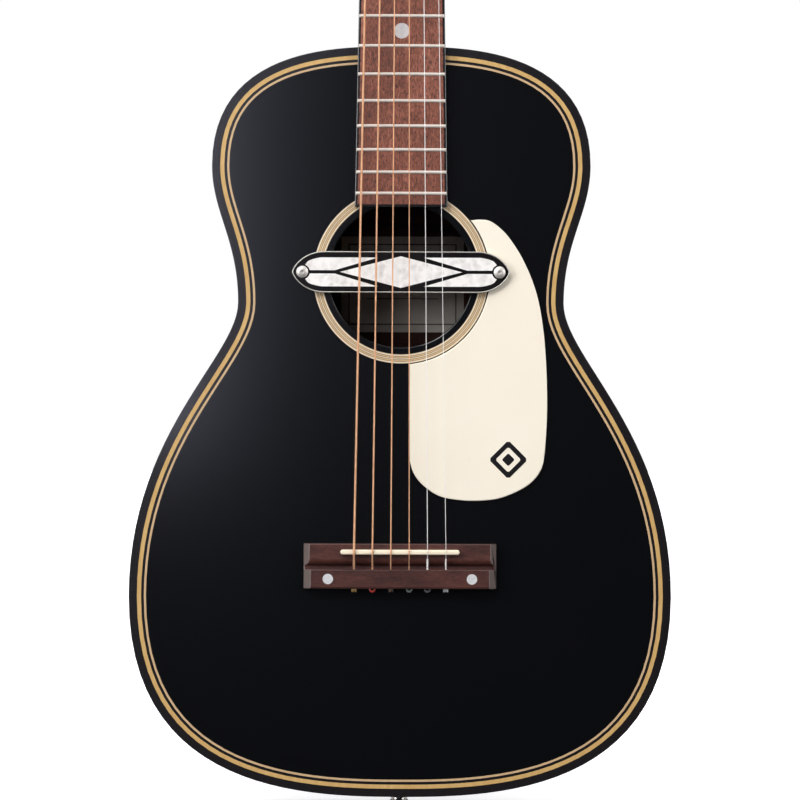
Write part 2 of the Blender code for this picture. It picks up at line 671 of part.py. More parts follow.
def make_bridge():
    """The pinless bridge, bored for the strings and slotted for the saddle."""
    half = BRIDGE_LENGTH / 2
    bridge = place("bridge", cross_prism("bridge", bridge_profile(), -half, half), BRIDGE_WALNUT)
    for hand in (1, -1):
        wedge = [
            (hand * (half + 0.002), BRIDGE_END_HEIGHT - 0.002 * 1.2),
            (hand * (half - BRIDGE_END_CHAMFER), BRIDGE_BLOCK_HEIGHT + 0.0002),
            (hand * (half - BRIDGE_END_CHAMFER), 0.02), (hand * (half + 0.002), 0.02),
        ]
        mesh = prism("bridge_chamfer", [wedge], -BRIDGE_FRONT_Y - 0.01, -BRIDGE_TAIL_Y + 0.01)
        mesh.transform(Matrix.Rotation(pi / 2, 4, "X"))
        boolean(bridge, place(f"bridge_chamfer_{hand}", mesh))
    slot_half, slot_y = SADDLE_LENGTH / 2 + INLAY_GAP, SADDLE_THICK / 2 + INLAY_GAP
    floor_z = BRIDGE_FRONT_HEIGHT - SADDLE_SLOT_DEPTH
    slot = prism("saddle_slot", [saddle_loop(slot_half, slot_y)], floor_z, 0.02)
    boolean(bridge, place("saddle_slot", slot))
    bores = []
    for index, radius in enumerate(STRING_RADII):
        start, tail, block, _ = string_at_bridge(index)
        along = (block - tail).normalized() * 0.003
        bores.append((tail - along, block + along, radius + GAP))
    boolean(bridge, place("string_bores", rods("string_bores", bores, sides=8)))
    seats = []
    for index in range(6):
        x, half = string_x(index, SADDLE_Y), BALL_LENGTH / 2 + GAP
        reach = BALL_RADIUS + GAP
        seats.append(box("ball_seat", (x - half, BRIDGE_TAIL_Y - 0.01, BALL_HEIGHT - reach),
                         (x + half, BRIDGE_TAIL_Y + reach - BALL_SETBACK, BALL_HEIGHT + reach)))
    pockets = bmesh.new()
    for seat in seats:
        pockets.from_mesh(seat)
    boolean(bridge, place("ball_seats", finished("ball_seats", pockets)))


def saddle_loop(half, thick):
    """A slot with round ends, about the saddle's line."""
    right = []
    for k in range(7):
        angle = k * pi / 6
        right.append((half - thick + thick * sin(angle), SADDLE_Y - thick * cos(angle)))
    return mirrored(right)


def make_saddle():
    low = BRIDGE_FRONT_HEIGHT - SADDLE_SLOT_DEPTH + GAP
    high = STRING_HEIGHT_SADDLE - GAP
    loop = saddle_loop(SADDLE_LENGTH / 2, SADDLE_THICK / 2)
    place("saddle", prism("saddle", [loop], low, high), BONE)


def board_half_width(y):
    """Half the fingerboard's width, binding included."""
    slope = (BOARD_WIDTH_JOINT - BOARD_WIDTH_NUT) / (NUT_Y - BODY_LENGTH)
    return (BOARD_WIDTH_NUT + slope * (NUT_Y - y)) / 2


def camber(x):
    """Height of the fingerboard's rounded face at x."""
    return BOARD_Z + BOARD_THICK - x * x / (2 * BOARD_CAMBER_RADIUS)


def across(half, count):
    """Even stations from one edge to the other."""
    return [half * (2 * k / count - 1) for k in range(count + 1)]


def fret_bar(name, y):
    """One fret: a crown that follows the camber, with its tang sunk in the board."""
    half = board_half_width(y) - BOARD_BINDING - 0.0005
    rings = []
    for x in across(half, 4):
        base = camber(x) + GAP / 2
        rings.append([
            (x, y - 0.0004, base - 0.0012), (x, y + 0.0004, base - 0.0012), (x, y + FRET_WIDTH / 2, base),
            (x, y + FRET_WIDTH / 4, base + FRET_HEIGHT), (x, y - FRET_WIDTH / 4, base + FRET_HEIGHT),
            (x, y - FRET_WIDTH / 2, base),
        ])
    return loft(name, rings)


def make_fingerboard():
    """The walnut board with its frets seated in it, and the binding round its edge."""
    low, high = BOARD_END_Y + BOARD_BINDING + INLAY_GAP, NUT_Y - GAP
    wide = board_half_width(BOARD_END_Y) + 0.001
    rings = []
    for y in (low - 0.01, high + 0.01):
        rings.append([(wide, y, BOARD_Z), (-wide, y, BOARD_Z), *[(x, y, camber(x)) for x in across(wide, 8)]])
    board = place("fingerboard", loft("fingerboard", rings), WALNUT)
    edge = BOARD_BINDING + INLAY_GAP
    half_low, half_high = board_half_width(low) - edge, board_half_width(high) - edge
    taper = [(-half_low, low), (half_low, low), (half_high, high), (-half_high, high)]
    boolean(board, place("board_taper", prism("board_taper", [taper], -0.01, 0.02)), "INTERSECT")
    frets = bmesh.new()
    for number in range(1, FRET_COUNT + 1):
        y = NUT_Y - SCALE_LENGTH * (1 - 2 ** (-number / 12))
        frets.from_mesh(fret_bar("fret", y))
    boolean(board, place("frets", finished("frets", frets), NICKEL), "UNION")

    low, high = BOARD_END_Y, NUT_Y - GAP
    end_low, end_high = board_half_width(low), board_half_width(high)
    inner_low = low + BOARD_BINDING
    loop = [
        (-end_low, low), (end_low, low), (end_high, high), (end_high - BOARD_BINDING, high),
        (board_half_width(inner_low) - BOARD_BINDING, inner_low),
        (-board_half_width(inner_low) + BOARD_BINDING, inner_low), (-end_high + BOARD_BINDING, high),
        (-end_high, high),
    ]
    edge_z = camber(end_low) - GAP
    place("fingerboard_binding", prism("fingerboard_binding", [loop], BOARD_Z, edge_z), BINDING_BLACK)


def make_nut():
    """The bone nut, slotted for each string."""
    half = BOARD_WIDTH_NUT / 2
    block = box("nut", (-half, NUT_Y, BOARD_Z), (half, NUT_Y + NUT_THICK - GAP, NUT_HEIGHT))
    blank = place("nut", block, BONE)
    slots = []
    for index, radius in enumerate(STRING_RADII):
        centre = Vector((string_x(index, NUT_Y), NUT_Y, string_z(index, NUT_Y)))
        ends = centre - Vector((0, 0.01, 0)), centre + Vector((0, 0.01, 0))
        slots.append((*ends, radius + GAP))
    boolean(blank, place("nut_slots", rods("nut_slots", slots, sides=8)))


# ---------------------------------------------------------------- neck
def shaft_ring(y, half, depth, lean=0.0):
    """The neck's D section: a flat top and a rounded back. Lean slants the section's plane."""
    points = []
    for k in range(13):
        angle = pi * k / 12
        x, z = half * cos(angle), -depth * sin(angle) ** 0.8
        points.append((x, y + z * lean, z))
    return points


def shaft_rings(grow=0.0):
    joint_y, end_y = BODY_LENGTH + GAP, HEAD_Y - GAP
    rings = []
    for along, lean in ((0.0, 0.0), (0.35, 0.0), (0.7, 0.0), (0.93, 0.0), (1.0, tan(HEAD_TILT))):
        y = joint_y + (end_y - joint_y) * along
        depth = SHAFT_DEPTH_JOINT + (SHAFT_DEPTH_NUT - SHAFT_DEPTH_JOINT) * along
        half = min(board_half_width(y), BOARD_WIDTH_JOINT / 2)
        rings.append(shaft_ring(y, half + grow, depth + grow, lean))
    return rings


def make_neck():
    """The shaft with its truss rod, the heel under it, and the heel's cap."""
    shaft = place("neck_shaft", loft("neck_shaft", shaft_rings()), BLACK_LACQUER)
    rod_half, rod_low, rod_high = TRUSS_ROD_WIDTH / 2, BODY_LENGTH + 0.012, HEAD_Y - 0.012
    channel = box("truss_channel", (-rod_half - GAP, rod_low - GAP, -TRUSS_ROD_HEIGHT - 2 * GAP),
                  (rod_half + GAP, rod_high + GAP, 0.01))
    boolean(shaft, place("truss_channel", channel))
    rod = box("truss_rod", (-rod_half, rod_low, -TRUSS_ROD_HEIGHT - GAP), (rod_half, rod_high, -GAP))
    place("truss_rod", rod, STEEL)

    cap_z = -DEPTH_NECK + HEEL_CAP_THICK + GAP
    top_z = -0.004
    rings = [heel_ring((z - cap_z) / (top_z - cap_z), z) for z in
             (cap_z + (top_z - cap_z) * (k / 10) ** 0.8 for k in range(11))]
    heel = place("heel", loft("heel", rings), BLACK_LACQUER)
    hollow = place("heel_hollow", loft("heel_hollow", hollow_rings()))
    boolean(heel, hollow)
    flat = [(x, y) for x, y, _ in heel_ring(0.0, 0)]
    place("heel_cap", prism("heel_cap", [flat], -DEPTH_NECK, -DEPTH_NECK + HEEL_CAP_THICK), BINDING_BLACK)


def hollow_rings():
    """The space that the neck's shaft takes out of the heel, open at the top and at the body."""
    rings = []
    for ring in shaft_rings(grow=GAP):
        half, y = ring[0][0], ring[0][1]
        lowered = [(x, along, z - GAP) for x, along, z in ring]
        rings.append([(half, y, 0.01), *lowered, (-half, y, 0.01)])
    rings[0] = [(x, y - 0.01, z) for x, y, z in rings[0]]
    return rings


def heel_ring(share, z):
    """The heel's section at a share of its height: flat on the body, round towards the neck."""
    half = HEEL_HALF_WIDTH_CAP + (BOARD_WIDTH_JOINT / 2 - HEEL_HALF_WIDTH_CAP) * share ** 1.3
    length = HEEL_LENGTH_CAP + (HEEL_LENGTH_TOP - HEEL_LENGTH_CAP) * share ** 5
    points = []
    for k in range(13):
        angle = pi * k / 12
        reach = length * sin(angle) ** 0.85
        points.append((half * cos(angle), BODY_LENGTH + 2 * GAP + reach, z))
    return points


def head_loop():
    """The headstock's outline in its own x and y, from the nut to a low central peak."""
    low, high, length = HEAD_HALF_WIDTH_LOW, HEAD_HALF_WIDTH_HIGH, HEAD_LENGTH
    start = BOARD_WIDTH_NUT / 2 + 0.0008
    flare = [
        (start + (low - start) * sin(t * pi / 2) ** 2, 0.006 + 0.020 * t) for t in (0, 0.25, 0.5, 0.75, 1)
    ]
    shoulder = length - 0.022
    crown = [
        (high - 0.007 * (1 - cos(t * pi / 2)), shoulder + 0.011 * sin(t * pi / 2)) for t in (0, 0.35, 0.7, 1)
    ]
    peak = [(high - 0.013, length - 0.0095), (high * 0.38, length - 0.003), (high * 0.14, length - 0.0006)]
    return mirrored([(start, 0), *flare, *crown, *peak, (0, length)])


def post_places():
    """Each tuner's name, side and place on the headstock, from the lowest string round to the highest."""
    places = []
    for index in range(6):
        hand = -1 if index < 3 else 1
        row = index if index < 3 else 5 - index
        places.append((index + 1, hand, hand * POST_X, POST_FIRST_Y + row * POST_SPACING))
    return places


def make_headstock():
    """The headstock, its front veneer with the truss rod cover, all bored for the six posts."""
    wood = place("headstock", prism("headstock", [head_loop()], -HEAD_THICK, 0), BLACK_LACQUER, head)
    loop = [(x, max(y, GAP)) for x, y in head_loop()]
    veneer = prism("headplate", [loop], GAP, GAP + HEADPLATE_THICK)
    plate = place("headplate", veneer, BLACK_LACQUER, head)
    bores = [((x, y, -0.03), (x, y, 0.01), POST_RADIUS + RUNNING_CLEARANCE) for _, _, x, y in post_places()]
    tool = as_cutter(place("post_bores", rods("post_bores", bores), parent=head))
    boolean(wood, tool)
    boolean(plate, tool)
    low, high, width = 0.007, 0.036, 0.0085
    bell = [
        (width, low), (width * 0.95, low + 0.006), (width * 0.55, low + 0.016),
        (width * 0.35, high - 0.003), (0, high),
    ]
    cover_z = 2 * GAP + HEADPLATE_THICK
    cover = prism("truss_rod_cover", [mirrored(bell)], cover_z, cover_z + 0.0016)
    place("truss_rod_cover", cover, IVORY_PLASTIC, head)


# ---------------------------------------------------------------- tuners
def gear_loop():
    """The wheel's teeth, with one tooth pointing along +y, at the worm."""
    points = []
    step = 2 * pi / GEAR_TEETH
    root = 0.24 * WORM_PITCH / GEAR_ROOT_RADIUS
    tip = 0.11 * WORM_PITCH / GEAR_TIP_RADIUS
    for tooth in range(GEAR_TEETH):
        middle = pi / 2 + tooth * step
        for offset, radius in ((-root, GEAR_ROOT_RADIUS), (-tip, GEAR_TIP_RADIUS),
                               (tip, GEAR_TIP_RADIUS), (root, GEAR_ROOT_RADIUS)):
            points.append((radius * cos(middle + offset), radius * sin(middle + offset)))
    return points


def make_post(number, x, y):
    """The string post, its wheel and the screw head that holds the wheel, on the post's axis."""
    top = GAP + HEADPLATE_THICK + POST_RISE
    grip = top - 0.0085
    profile = [
        (0, top), (POST_RADIUS - 0.0006, top), (POST_RADIUS, top - 0.0006), (POST_RADIUS, grip + 0.005),
        (POST_WAIST_RADIUS, grip + 0.004), (POST_WAIST_RADIUS, grip - 0.001), (POST_RADIUS, grip - 0.002),
        (POST_RADIUS, WORM_Z + GEAR_THICK / 2), (0.0042, WORM_Z + GEAR_THICK / 2 - 0.0005),
        (0.0042, WORM_Z - GEAR_THICK / 2 - 0.0008), (0.003, WORM_Z - GEAR_THICK / 2 - 0.0018),
        (0, WORM_Z - GEAR_THICK / 2 - 0.0018),
    ]
    name = f"tuner_post_{number}"
    post = turned(name, profile, NICKEL, head, location=(x, y, 0), steps=12)
    half = GEAR_THICK / 2
    wheel = prism(name + "_wheel", [gear_loop()], WORM_Z - half, WORM_Z + half)
    boolean(post, place(name + "_wheel", wheel, NICKEL, head, location=(x, y, 0)), "UNION")
    hole = rods(name + "_eye", [((-0.005, 0, top - 0.0032), (0.005, 0, top - 0.0032), 0.0008)], sides=8)
    boolean(post, place(name + "_eye", hole, parent=head, location=(x, y, 0)))


def thread_radius(turn):
    """The worm's radius at a share of a turn away from its crest."""
    away = abs(turn - floor(turn + 0.5))
    return WORM_CORE_RADIUS + (WORM_CREST_RADIUS - WORM_CORE_RADIUS) * min(1, max(0, 1.5 - away / 0.15))


def key_ring(x, radius, second=None):
    """Points round the key's shaft at x. With a second radius the section is an oval."""
    second = radius if second is None else second
    angles = [2 * pi * k / WORM_STEPS for k in range(WORM_STEPS)]
    return [(x, radius * cos(a), second * sin(a)) for a in angles]


def make_key(number, hand, x, y):
    """The worm, its shaft and its button: one right-hand thread, whichever side it is on."""
    half = WORM_PITCHES * WORM_PITCH / 2
    collar = TAB_X + TAB_THICK / 2 + RUNNING_CLEARANCE
    button = HEAD_HALF_WIDTH_HIGH + 0.0025 - POST_X
    rings = [
        key_ring(hand * -(collar + 0.0012), SHAFT_RADIUS), key_ring(hand * -(half + 0.0002), SHAFT_RADIUS),
    ]
    count = WORM_PITCHES * WORM_STEPS
    for k in range(count + 1):
        along = hand * (-half + k * WORM_PITCH / WORM_STEPS)
        ring = []
        for side in range(WORM_STEPS):
            angle = 2 * pi * side / WORM_STEPS
            radius = thread_radius(along / WORM_PITCH - angle / (2 * pi))
            ring.append((along, radius * cos(angle), radius * sin(angle)))
        rings.append(ring)
    rings += [
        key_ring(hand * (half + 0.0002), SHAFT_RADIUS), key_ring(hand * collar, SHAFT_RADIUS),
        key_ring(hand * (collar + 0.0001), SHAFT_RADIUS + 0.001),
        key_ring(hand * (collar + 0.0012), SHAFT_RADIUS + 0.001),
        key_ring(hand * (collar + 0.0016), SHAFT_RADIUS), key_ring(hand * button, SHAFT_RADIUS),
    ]
    for share, fullness in ((0.06, 0.55), (0.22, 0.9), (0.5, 1.0), (0.78, 0.9), (0.94, 0.6), (1.0, 0.3)):
        at = hand * (button + BUTTON_LENGTH * share)
        rings.append(key_ring(at, BUTTON_HALF_HEIGHT * fullness, BUTTON_HALF_THICK * fullness))
    name = f"tuner_key_{number}"
    place(name, loft(name, rings), IVORY_PLASTIC, head, location=(x, y + WORM_OFFSET, WORM_Z))


def make_tuner_plate(name, hand):
    """A strip that carries three tuners, with two tabs for each worm."""
    x, half = hand * POST_X, TUNER_PLATE_WIDTH / 2
    rows = [POST_FIRST_Y + row * POST_SPACING for row in range(3)]
    low, high = rows[0] - 0.013, rows[-1] + WORM_OFFSET + 0.009
    strip = box(name, (x - half, low, TUNER_PLATE_Z - TUNER_PLATE_THICK), (x + half, high, TUNER_PLATE_Z))
    plate = place(name, strip, NICKEL, head)
    tabs = bmesh.new()
    bores = []
    for y in rows:
        worm_y = y + WORM_OFFSET
        for side in (1, -1):
            tab_x = x + side * TAB_X
            tabs.from_mesh(box(
                "tab", (tab_x - TAB_THICK / 2, worm_y - TAB_WIDTH / 2, WORM_Z - 0.0034),
                (tab_x + TAB_THICK / 2, worm_y + TAB_WIDTH / 2, TUNER_PLATE_Z - TUNER_PLATE_THICK / 2)))
        left, right = x - TAB_X - 0.004, x + TAB_X + 0.004
        bores.append(((left, worm_y, WORM_Z), (right, worm_y, WORM_Z), SHAFT_RADIUS + RUNNING_CLEARANCE))
        bores.append(((x, y, -0.03), (x, y, 0.0), POST_RADIUS + RUNNING_CLEARANCE))
    boolean(plate, place(name + "_tabs", finished(name + "_tabs", tabs), NICKEL, head), "UNION")
    boolean(plate, place(name + "_bores", rods(name + "_bores", bores), parent=head))


def make_tuners():
    for number, hand, x, y in post_places():
        make_post(number, x, y)
        make_key(number, hand, x, y)
    make_tuner_plate("tuner_plate_bass", -1)
    make_tuner_plate("tuner_plate_treble", 1)


# ---------------------------------------------------------------- strings
def winding(index, x, y, hand):
    """A string's turns on its post, from where it meets the post up to the eye, in the head's frame."""
    radius = STRING_RADII[index]
    reach = POST_RADIUS + GAP + radius
    pitch = 2 * radius + 0.0002
    start_z = GAP + HEADPLATE_THICK + 0.0050 + radius
    points = []
    for k in range(19):
        angle = pi / 4 * k
        turn = angle if hand < 0 else pi - angle
        climb = start_z + pitch * angle / (2 * pi)
        points.append(Vector((x + reach * cos(turn), y + reach * sin(turn), climb)))
    return points


def make_string(index, x, y, hand):
    """One string: ball end, anchor block, saddle, nut and the turns on its post."""
    radius = STRING_RADII[index]
    name = f"string_{index + 1}"
    rise = Matrix.Translation((0, HEAD_Y, 0)) @ Matrix.Rotation(-HEAD_TILT, 4, "X")
    bearings = SADDLE_Y, NUT_Y, NUT_Y + NUT_THICK * 0.7
    span = [Vector((string_x(index, at), at, string_z(index, at))) for at in bearings]
    points = string_at_bridge(index) + span + [rise @ p for p in winding(index, x, y, hand)]
    curve = bpy.data.curves.new(name, "CURVE")
    curve.dimensions = "3D"
    curve.bevel_depth = radius
    curve.bevel_resolution = 2
    curve.use_fill_caps = True
    spline = curve.splines.new("POLY")
    spline.points.add(len(points) - 1)
    for point, place_at in zip(spline.points, points):
        point.co = (*place_at, 1)
    wire = place(name, mesh_of_curve(curve), BRONZE if index < 4 else STEEL)
    ball_y = BRIDGE_TAIL_Y - BALL_SETBACK
    across_ball = Vector((BALL_LENGTH / 2, 0, 0))
    centre = Vector((string_x(index, SADDLE_Y), ball_y, BALL_HEIGHT))
    ball = rods(name + "_ball", [(centre - across_ball, centre + across_ball, BALL_RADIUS)])
    boolean(wire, place(name + "_ball", ball, NICKEL), "UNION")


def make_strings():
    for number, hand, x, y in post_places():
        make_string(number - 1, x, y, hand)


# ---------------------------------------------------------------- pickup and pickguard
def pickup_loop():
    """The cover's outline: straight edges, and ends drawn to a blunt point."""
    straight, half, width = PICKUP_STRAIGHT / 2, PICKUP_LENGTH / 2, PICKUP_WIDTH / 2
    end = []
    for k in range(8):
        share = sin(pi / 2 * k / 8)
        end.append((straight + (half - straight) * share, width * (1 - share ** 2.2) ** 0.7))
    lower, upper = [(x, PICKUP_Y - y) for x, y in end], [(x, PICKUP_Y + y) for x, y in reversed(end)]
    return mirrored([*lower, (half, PICKUP_Y), *upper])


def make_pickup():
    """The cover over the soundhole, the coil box that hangs in it, and the two end screws."""
    low, high = PICKUP_COVER_RISE, PICKUP_COVER_RISE + PICKUP_COVER_THICK
    cover = place("pickup_cover", prism("pickup_cover", [pickup_loop()], low, high), BLACK_PLASTIC)
    holes = [((hand * PICKUP_SCREW_X, PICKUP_Y, 0), (hand * PICKUP_SCREW_X, PICKUP_Y, 0.01), 0.0015 + GAP)
             for hand in (1, -1)]
    boolean(cover, place("pickup_screw_holes", rods("pickup_screw_holes", holes)))
    long, wide = PICKUP_BOX_LENGTH / 2, PICKUP_BOX_WIDTH / 2
    case = box(
        "pickup_housing", (-long, PICKUP_Y - wide, -PICKUP_BOX_DEPTH), (long, PICKUP_Y + wide, low - GAP))
    coil = place("pickup_housing", case, BLACK_PLASTIC)
    foot, across_foot = PICKUP_FOOT_LENGTH / 2, PICKUP_FOOT_WIDTH / 2
    clamp = box(
        "pickup_feet", (-foot, PICKUP_Y - across_foot, INNER_TOP_Z - GAP - PICKUP_FOOT_THICK),
        (foot, PICKUP_Y + across_foot, INNER_TOP_Z - GAP))
    boolean(coil, place("pickup_feet", clamp, BLACK_PLASTIC), "UNION")
    rise = high + GAP
    profile = [
        (0, 0.0013), (PICKUP_SCREW_RADIUS * 0.7, 0.0011), (PICKUP_SCREW_RADIUS, 0.0003),
        (PICKUP_SCREW_RADIUS, 0), (0.0015, 0), (0.0015, -PICKUP_COVER_THICK), (0, -PICKUP_COVER_THICK),
    ]
    for name, hand in (("pickup_screw_bass", -1), ("pickup_screw_treble", 1)):
        turned(name, profile, NICKEL, location=(hand * PICKUP_SCREW_X, PICKUP_Y, rise))


def make_pickguard():
    """The guard on the treble side: it follows the rosette, then hangs as a long rounded flag."""
    reach = ROSETTE_INNER + ROSETTE_WIDTH + GUARD_GAP
    first, last = pi - asin(GUARD_LEFT_X / reach), pi / 2 - asin(GUARD_HORN_Y / reach)
    arc = []
    for k in range(13):
        angle = first - (first - last) * k / 12
        arc.append((reach * sin(angle), SOUNDHOLE_Y + reach * cos(angle)))
    widen = arc[-1][0] + GUARD_SHOULDER - GUARD_EDGE[0][0]
    lowest = -min(y for _, y in GUARD_EDGE)
    stretch = (SOUNDHOLE_Y - BRIDGE_FRONT_Y - GUARD_BRIDGE_GAP) / lowest
    edge = []
    for x, y in GUARD_EDGE:
        share = min(1, (x - GUARD_LEFT_X) / (GUARD_EDGE[0][0] - GUARD_LEFT_X))
        edge.append((x + widen * share, SOUNDHOLE_Y + y * (stretch if y < 0 else 1)))
    place("pickguard", prism("pickguard", [arc + edge], GAP, GAP + PICKGUARD_THICK), IVORY_PLASTIC)


make_soundboard()
make_edge_trim()
make_back()
hole_for_pin = end_pin_hole()
make_sides(hole_for_pin)
make_linings()
make_blocks(hole_for_pin)
make_end_pin()
make_top_braces()
make_bridge_plate()
make_back_braces()
make_bridge()
make_saddle()
make_fingerboard()
make_nut()
make_neck()
make_headstock()
make_tuners()
make_strings()
make_pickup()
make_pickguard()
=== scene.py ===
"""Looks of a small black flat-top guitar: every piece is finished round its CAD solids."""

from math import asin, cos, floor, pi, radians, sin

import bmesh
import bpy
from mathutils import Matrix, Vector


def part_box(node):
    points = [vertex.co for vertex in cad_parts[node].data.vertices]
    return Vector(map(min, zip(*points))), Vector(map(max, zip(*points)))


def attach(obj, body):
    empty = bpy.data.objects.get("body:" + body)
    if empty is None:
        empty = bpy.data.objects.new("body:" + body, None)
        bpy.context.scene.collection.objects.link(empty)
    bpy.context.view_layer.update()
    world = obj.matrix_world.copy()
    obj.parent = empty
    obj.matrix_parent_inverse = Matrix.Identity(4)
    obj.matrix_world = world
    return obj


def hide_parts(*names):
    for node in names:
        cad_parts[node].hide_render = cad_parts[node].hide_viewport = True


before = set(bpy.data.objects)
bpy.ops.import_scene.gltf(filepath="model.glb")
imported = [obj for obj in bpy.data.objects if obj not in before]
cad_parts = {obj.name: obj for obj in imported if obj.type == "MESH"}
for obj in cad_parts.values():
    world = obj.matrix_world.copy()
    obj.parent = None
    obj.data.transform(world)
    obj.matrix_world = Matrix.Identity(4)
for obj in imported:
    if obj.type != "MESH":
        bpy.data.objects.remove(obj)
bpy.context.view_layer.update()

# ---------------------------------------------------------------- soundboard
# The top is a thin spruce plate under satin black lacquer, so that only a hint of its grain
# shows in the gloss. It is drawn lying on the bench, tail at y = 0 and face at z = 0, then
# stood up where the solid is. The soundhole's lip is eased.
bpy.ops.object.select_all(action="DESELECT")
face_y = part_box("soundboard")[0].y
tail_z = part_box("binding_top")[0].z
STOOD = Matrix.Translation((0, face_y, tail_z)) @ Matrix.Rotation(pi / 2, 4, "X")


class Wire:
    """One shader socket. Arithmetic on it adds Math nodes to its finish."""

    def __init__(self, finish, socket):
        self.finish, self.socket = finish, socket

    def maths(self, operation, first, second=0.0):
        return self.finish.add("ShaderNodeMath", {"operation": operation}, {0: first, 1: second})

    def __add__(self, other):
        return self.maths("ADD", self, other)

    def __radd__(self, other):
        return self.maths("ADD", other, self)

    def __sub__(self, other):
        return self.maths("SUBTRACT", self, other)

    def __rsub__(self, other):
        return self.maths("SUBTRACT", other, self)

    def __mul__(self, other):
        return self.maths("MULTIPLY", self, other)

    def __rmul__(self, other):
        return self.maths("MULTIPLY", other, self)

    def __pow__(self, other):
        return self.maths("POWER", self, other)

    def __gt__(self, other):
        return self.maths("GREATER_THAN", self, other)

    def __lt__(self, other):
        return self.maths("LESS_THAN", self, other)

    def __abs__(self):
        return self.maths("ABSOLUTE", self)

    def clipped(self):
        return self.finish.add("ShaderNodeMath", {"operation": "ADD", "use_clamp": True}, {0: self, 1: 0.0})


class Finish:
    """A Principled material, put together from nodes."""

    def __init__(self, name, **sockets):
        self.material = bpy.data.materials.new(name)
        self.material.use_nodes = True
        self.tree = self.material.node_tree
        self.shader = self.tree.nodes["Principled BSDF"]
        self.set(**sockets)

    def set(self, **sockets):
        for name, value in sockets.items():
            self.plug(self.shader.inputs[name.replace("_", " ").title().replace("Ior", "IOR")], value)

    def plug(self, socket, value):
        if isinstance(value, Wire):
            self.tree.links.new(value.socket, socket)
        elif hasattr(socket.default_value, "__len__") and len(socket.default_value) == 4:
            socket.default_value = (*value[:3], 1)
        else:
            socket.default_value = value

    def add(self, kind, settings=None, values=None, output=0):
        """One node: its settings first, then the values or wires of its sockets."""
        node = self.tree.nodes.new(kind)
        for key, value in (settings or {}).items():
            if key == "stops":
                ramp = node.color_ramp
                while len(ramp.elements) < len(value):
                    ramp.elements.new(0.5)
                for element, (place, colour) in zip(ramp.elements, value):
                    element.position = place
                    element.color = (*colour, 1)
            elif key == "interpolation":
                node.color_ramp.interpolation = value
            else:
                setattr(node, key, value)
        for key, value in (values or {}).items():
            self.plug(node.inputs[key], value)
        return Wire(self, node.outputs[output])

    def spot(self, scale=(1, 1, 1), turn=(0, 0, 0)):
        """Object coordinates, turned and stretched."""
        here = self.add("ShaderNodeTexCoord", output=3)
        if (scale, turn) == ((1, 1, 1), (0, 0, 0)):
            return here
        return self.add("ShaderNodeMapping", {}, {"Vector": here, "Rotation": turn, "Scale": scale})

    def axis(self, letter):
        """One of the three coordinates."""
        return self.add("ShaderNodeSeparateXYZ", {}, {0: self.spot()}, output="XYZ".index(letter))

    def cloud(self, scale, at=None, detail=2.0, rough=0.5):
        """Soft noise from 0 to 1."""
        return self.add("ShaderNodeTexNoise", {}, {
            "Vector": at or self.spot(), "Scale": scale, "Detail": detail, "Roughness": rough})

    def blend(self, share, first, second):
        """A colour between two colours."""
        return self.add("ShaderNodeMix", {"data_type": "RGBA"}, {0: share, 6: first, 7: second}, output=2)

    def ramp(self, share, *stops, step=False):
        """Colours spread over a share, either running into each other or in steps."""
        settings = {"interpolation": "CONSTANT" if step else "LINEAR", "stops": stops}
        return self.add("ShaderNodeValToRGB", settings, {0: share})

    def relief(self, height, depth, strength=1.0):
        """A bump of that depth in metres, fed to the normal."""
        bump = self.add("ShaderNodeBump", {}, {"Strength": strength, "Distance": depth, "Height": height})
        self.set(Normal=bump)


def tone(code):
    """A linear colour from its six-figure screen code."""
    parts = [int(code[k:k + 2], 16) / 255 for k in (0, 2, 4)]
    return tuple(c / 12.92 if c <= 0.04045 else ((c + 0.055) / 1.055) ** 2.4 for c in parts)


def satin_black(name="satin_black"):
    """Buffed black lacquer: a clear coat over the colour, and the wood's grain just telling."""
    finish = Finish(name, Specular_Ior_Level=0.06, Coat_Roughness=0.14)
    grain = finish.cloud(60, finish.spot((6, 6, 0.35)), 4, 0.6)
    haze = finish.cloud(9, detail=3)
    peel = finish.cloud(750, detail=1)
    finish.set(
        Base_Color=finish.blend(haze, tone("040507"), tone("06070a")),
        Roughness=0.40 + grain * 0.1, Coat_Weight=0.9 + haze * 0.1,
    )
    finish.relief(peel * 0.25 + grain * 0.4, 0.00002, 0.25)
    return finish.material


def plate(name, loops, low, high):
    """A flat board with one outline, and any further loops as holes, lying in the bench frame."""
    bpy.ops.curve.primitive_bezier_circle_add(radius=0.1)
    drawn = bpy.context.object
    drawn.name = name
    shape = drawn.data
    shape.splines.clear()
    shape.dimensions = "2D"
    shape.fill_mode = "BOTH"
    shape.extrude = (high - low) / 2
    for loop in loops:
        line = shape.splines.new("POLY")
        line.points.add(len(loop) - 1)
        line.use_cyclic_u = True
        for point, (x, y) in zip(line.points, loop):
            point.co = (x, y, 0, 1)
    bpy.ops.object.convert(target="MESH")
    piece = bpy.context.object
    piece.name = piece.data.name = name
    piece.data.transform(Matrix.Translation((0, 0, (low + high) / 2)))
    return close_up(piece)


def close_up(piece, merge=1e-6):
    """Welds doubled points, caps open ends and turns the faces out."""
    bpy.context.view_layer.objects.active = piece
    bpy.ops.object.mode_set(mode="EDIT")
    bpy.ops.mesh.select_all(action="SELECT")
    bpy.ops.mesh.remove_doubles(threshold=merge)
    bpy.ops.mesh.fill_holes(sides=0)
    bpy.ops.mesh.select_all(action="SELECT")
    bpy.ops.mesh.normals_make_consistent(inside=False)
    bpy.ops.object.mode_set(mode="OBJECT")
    return piece


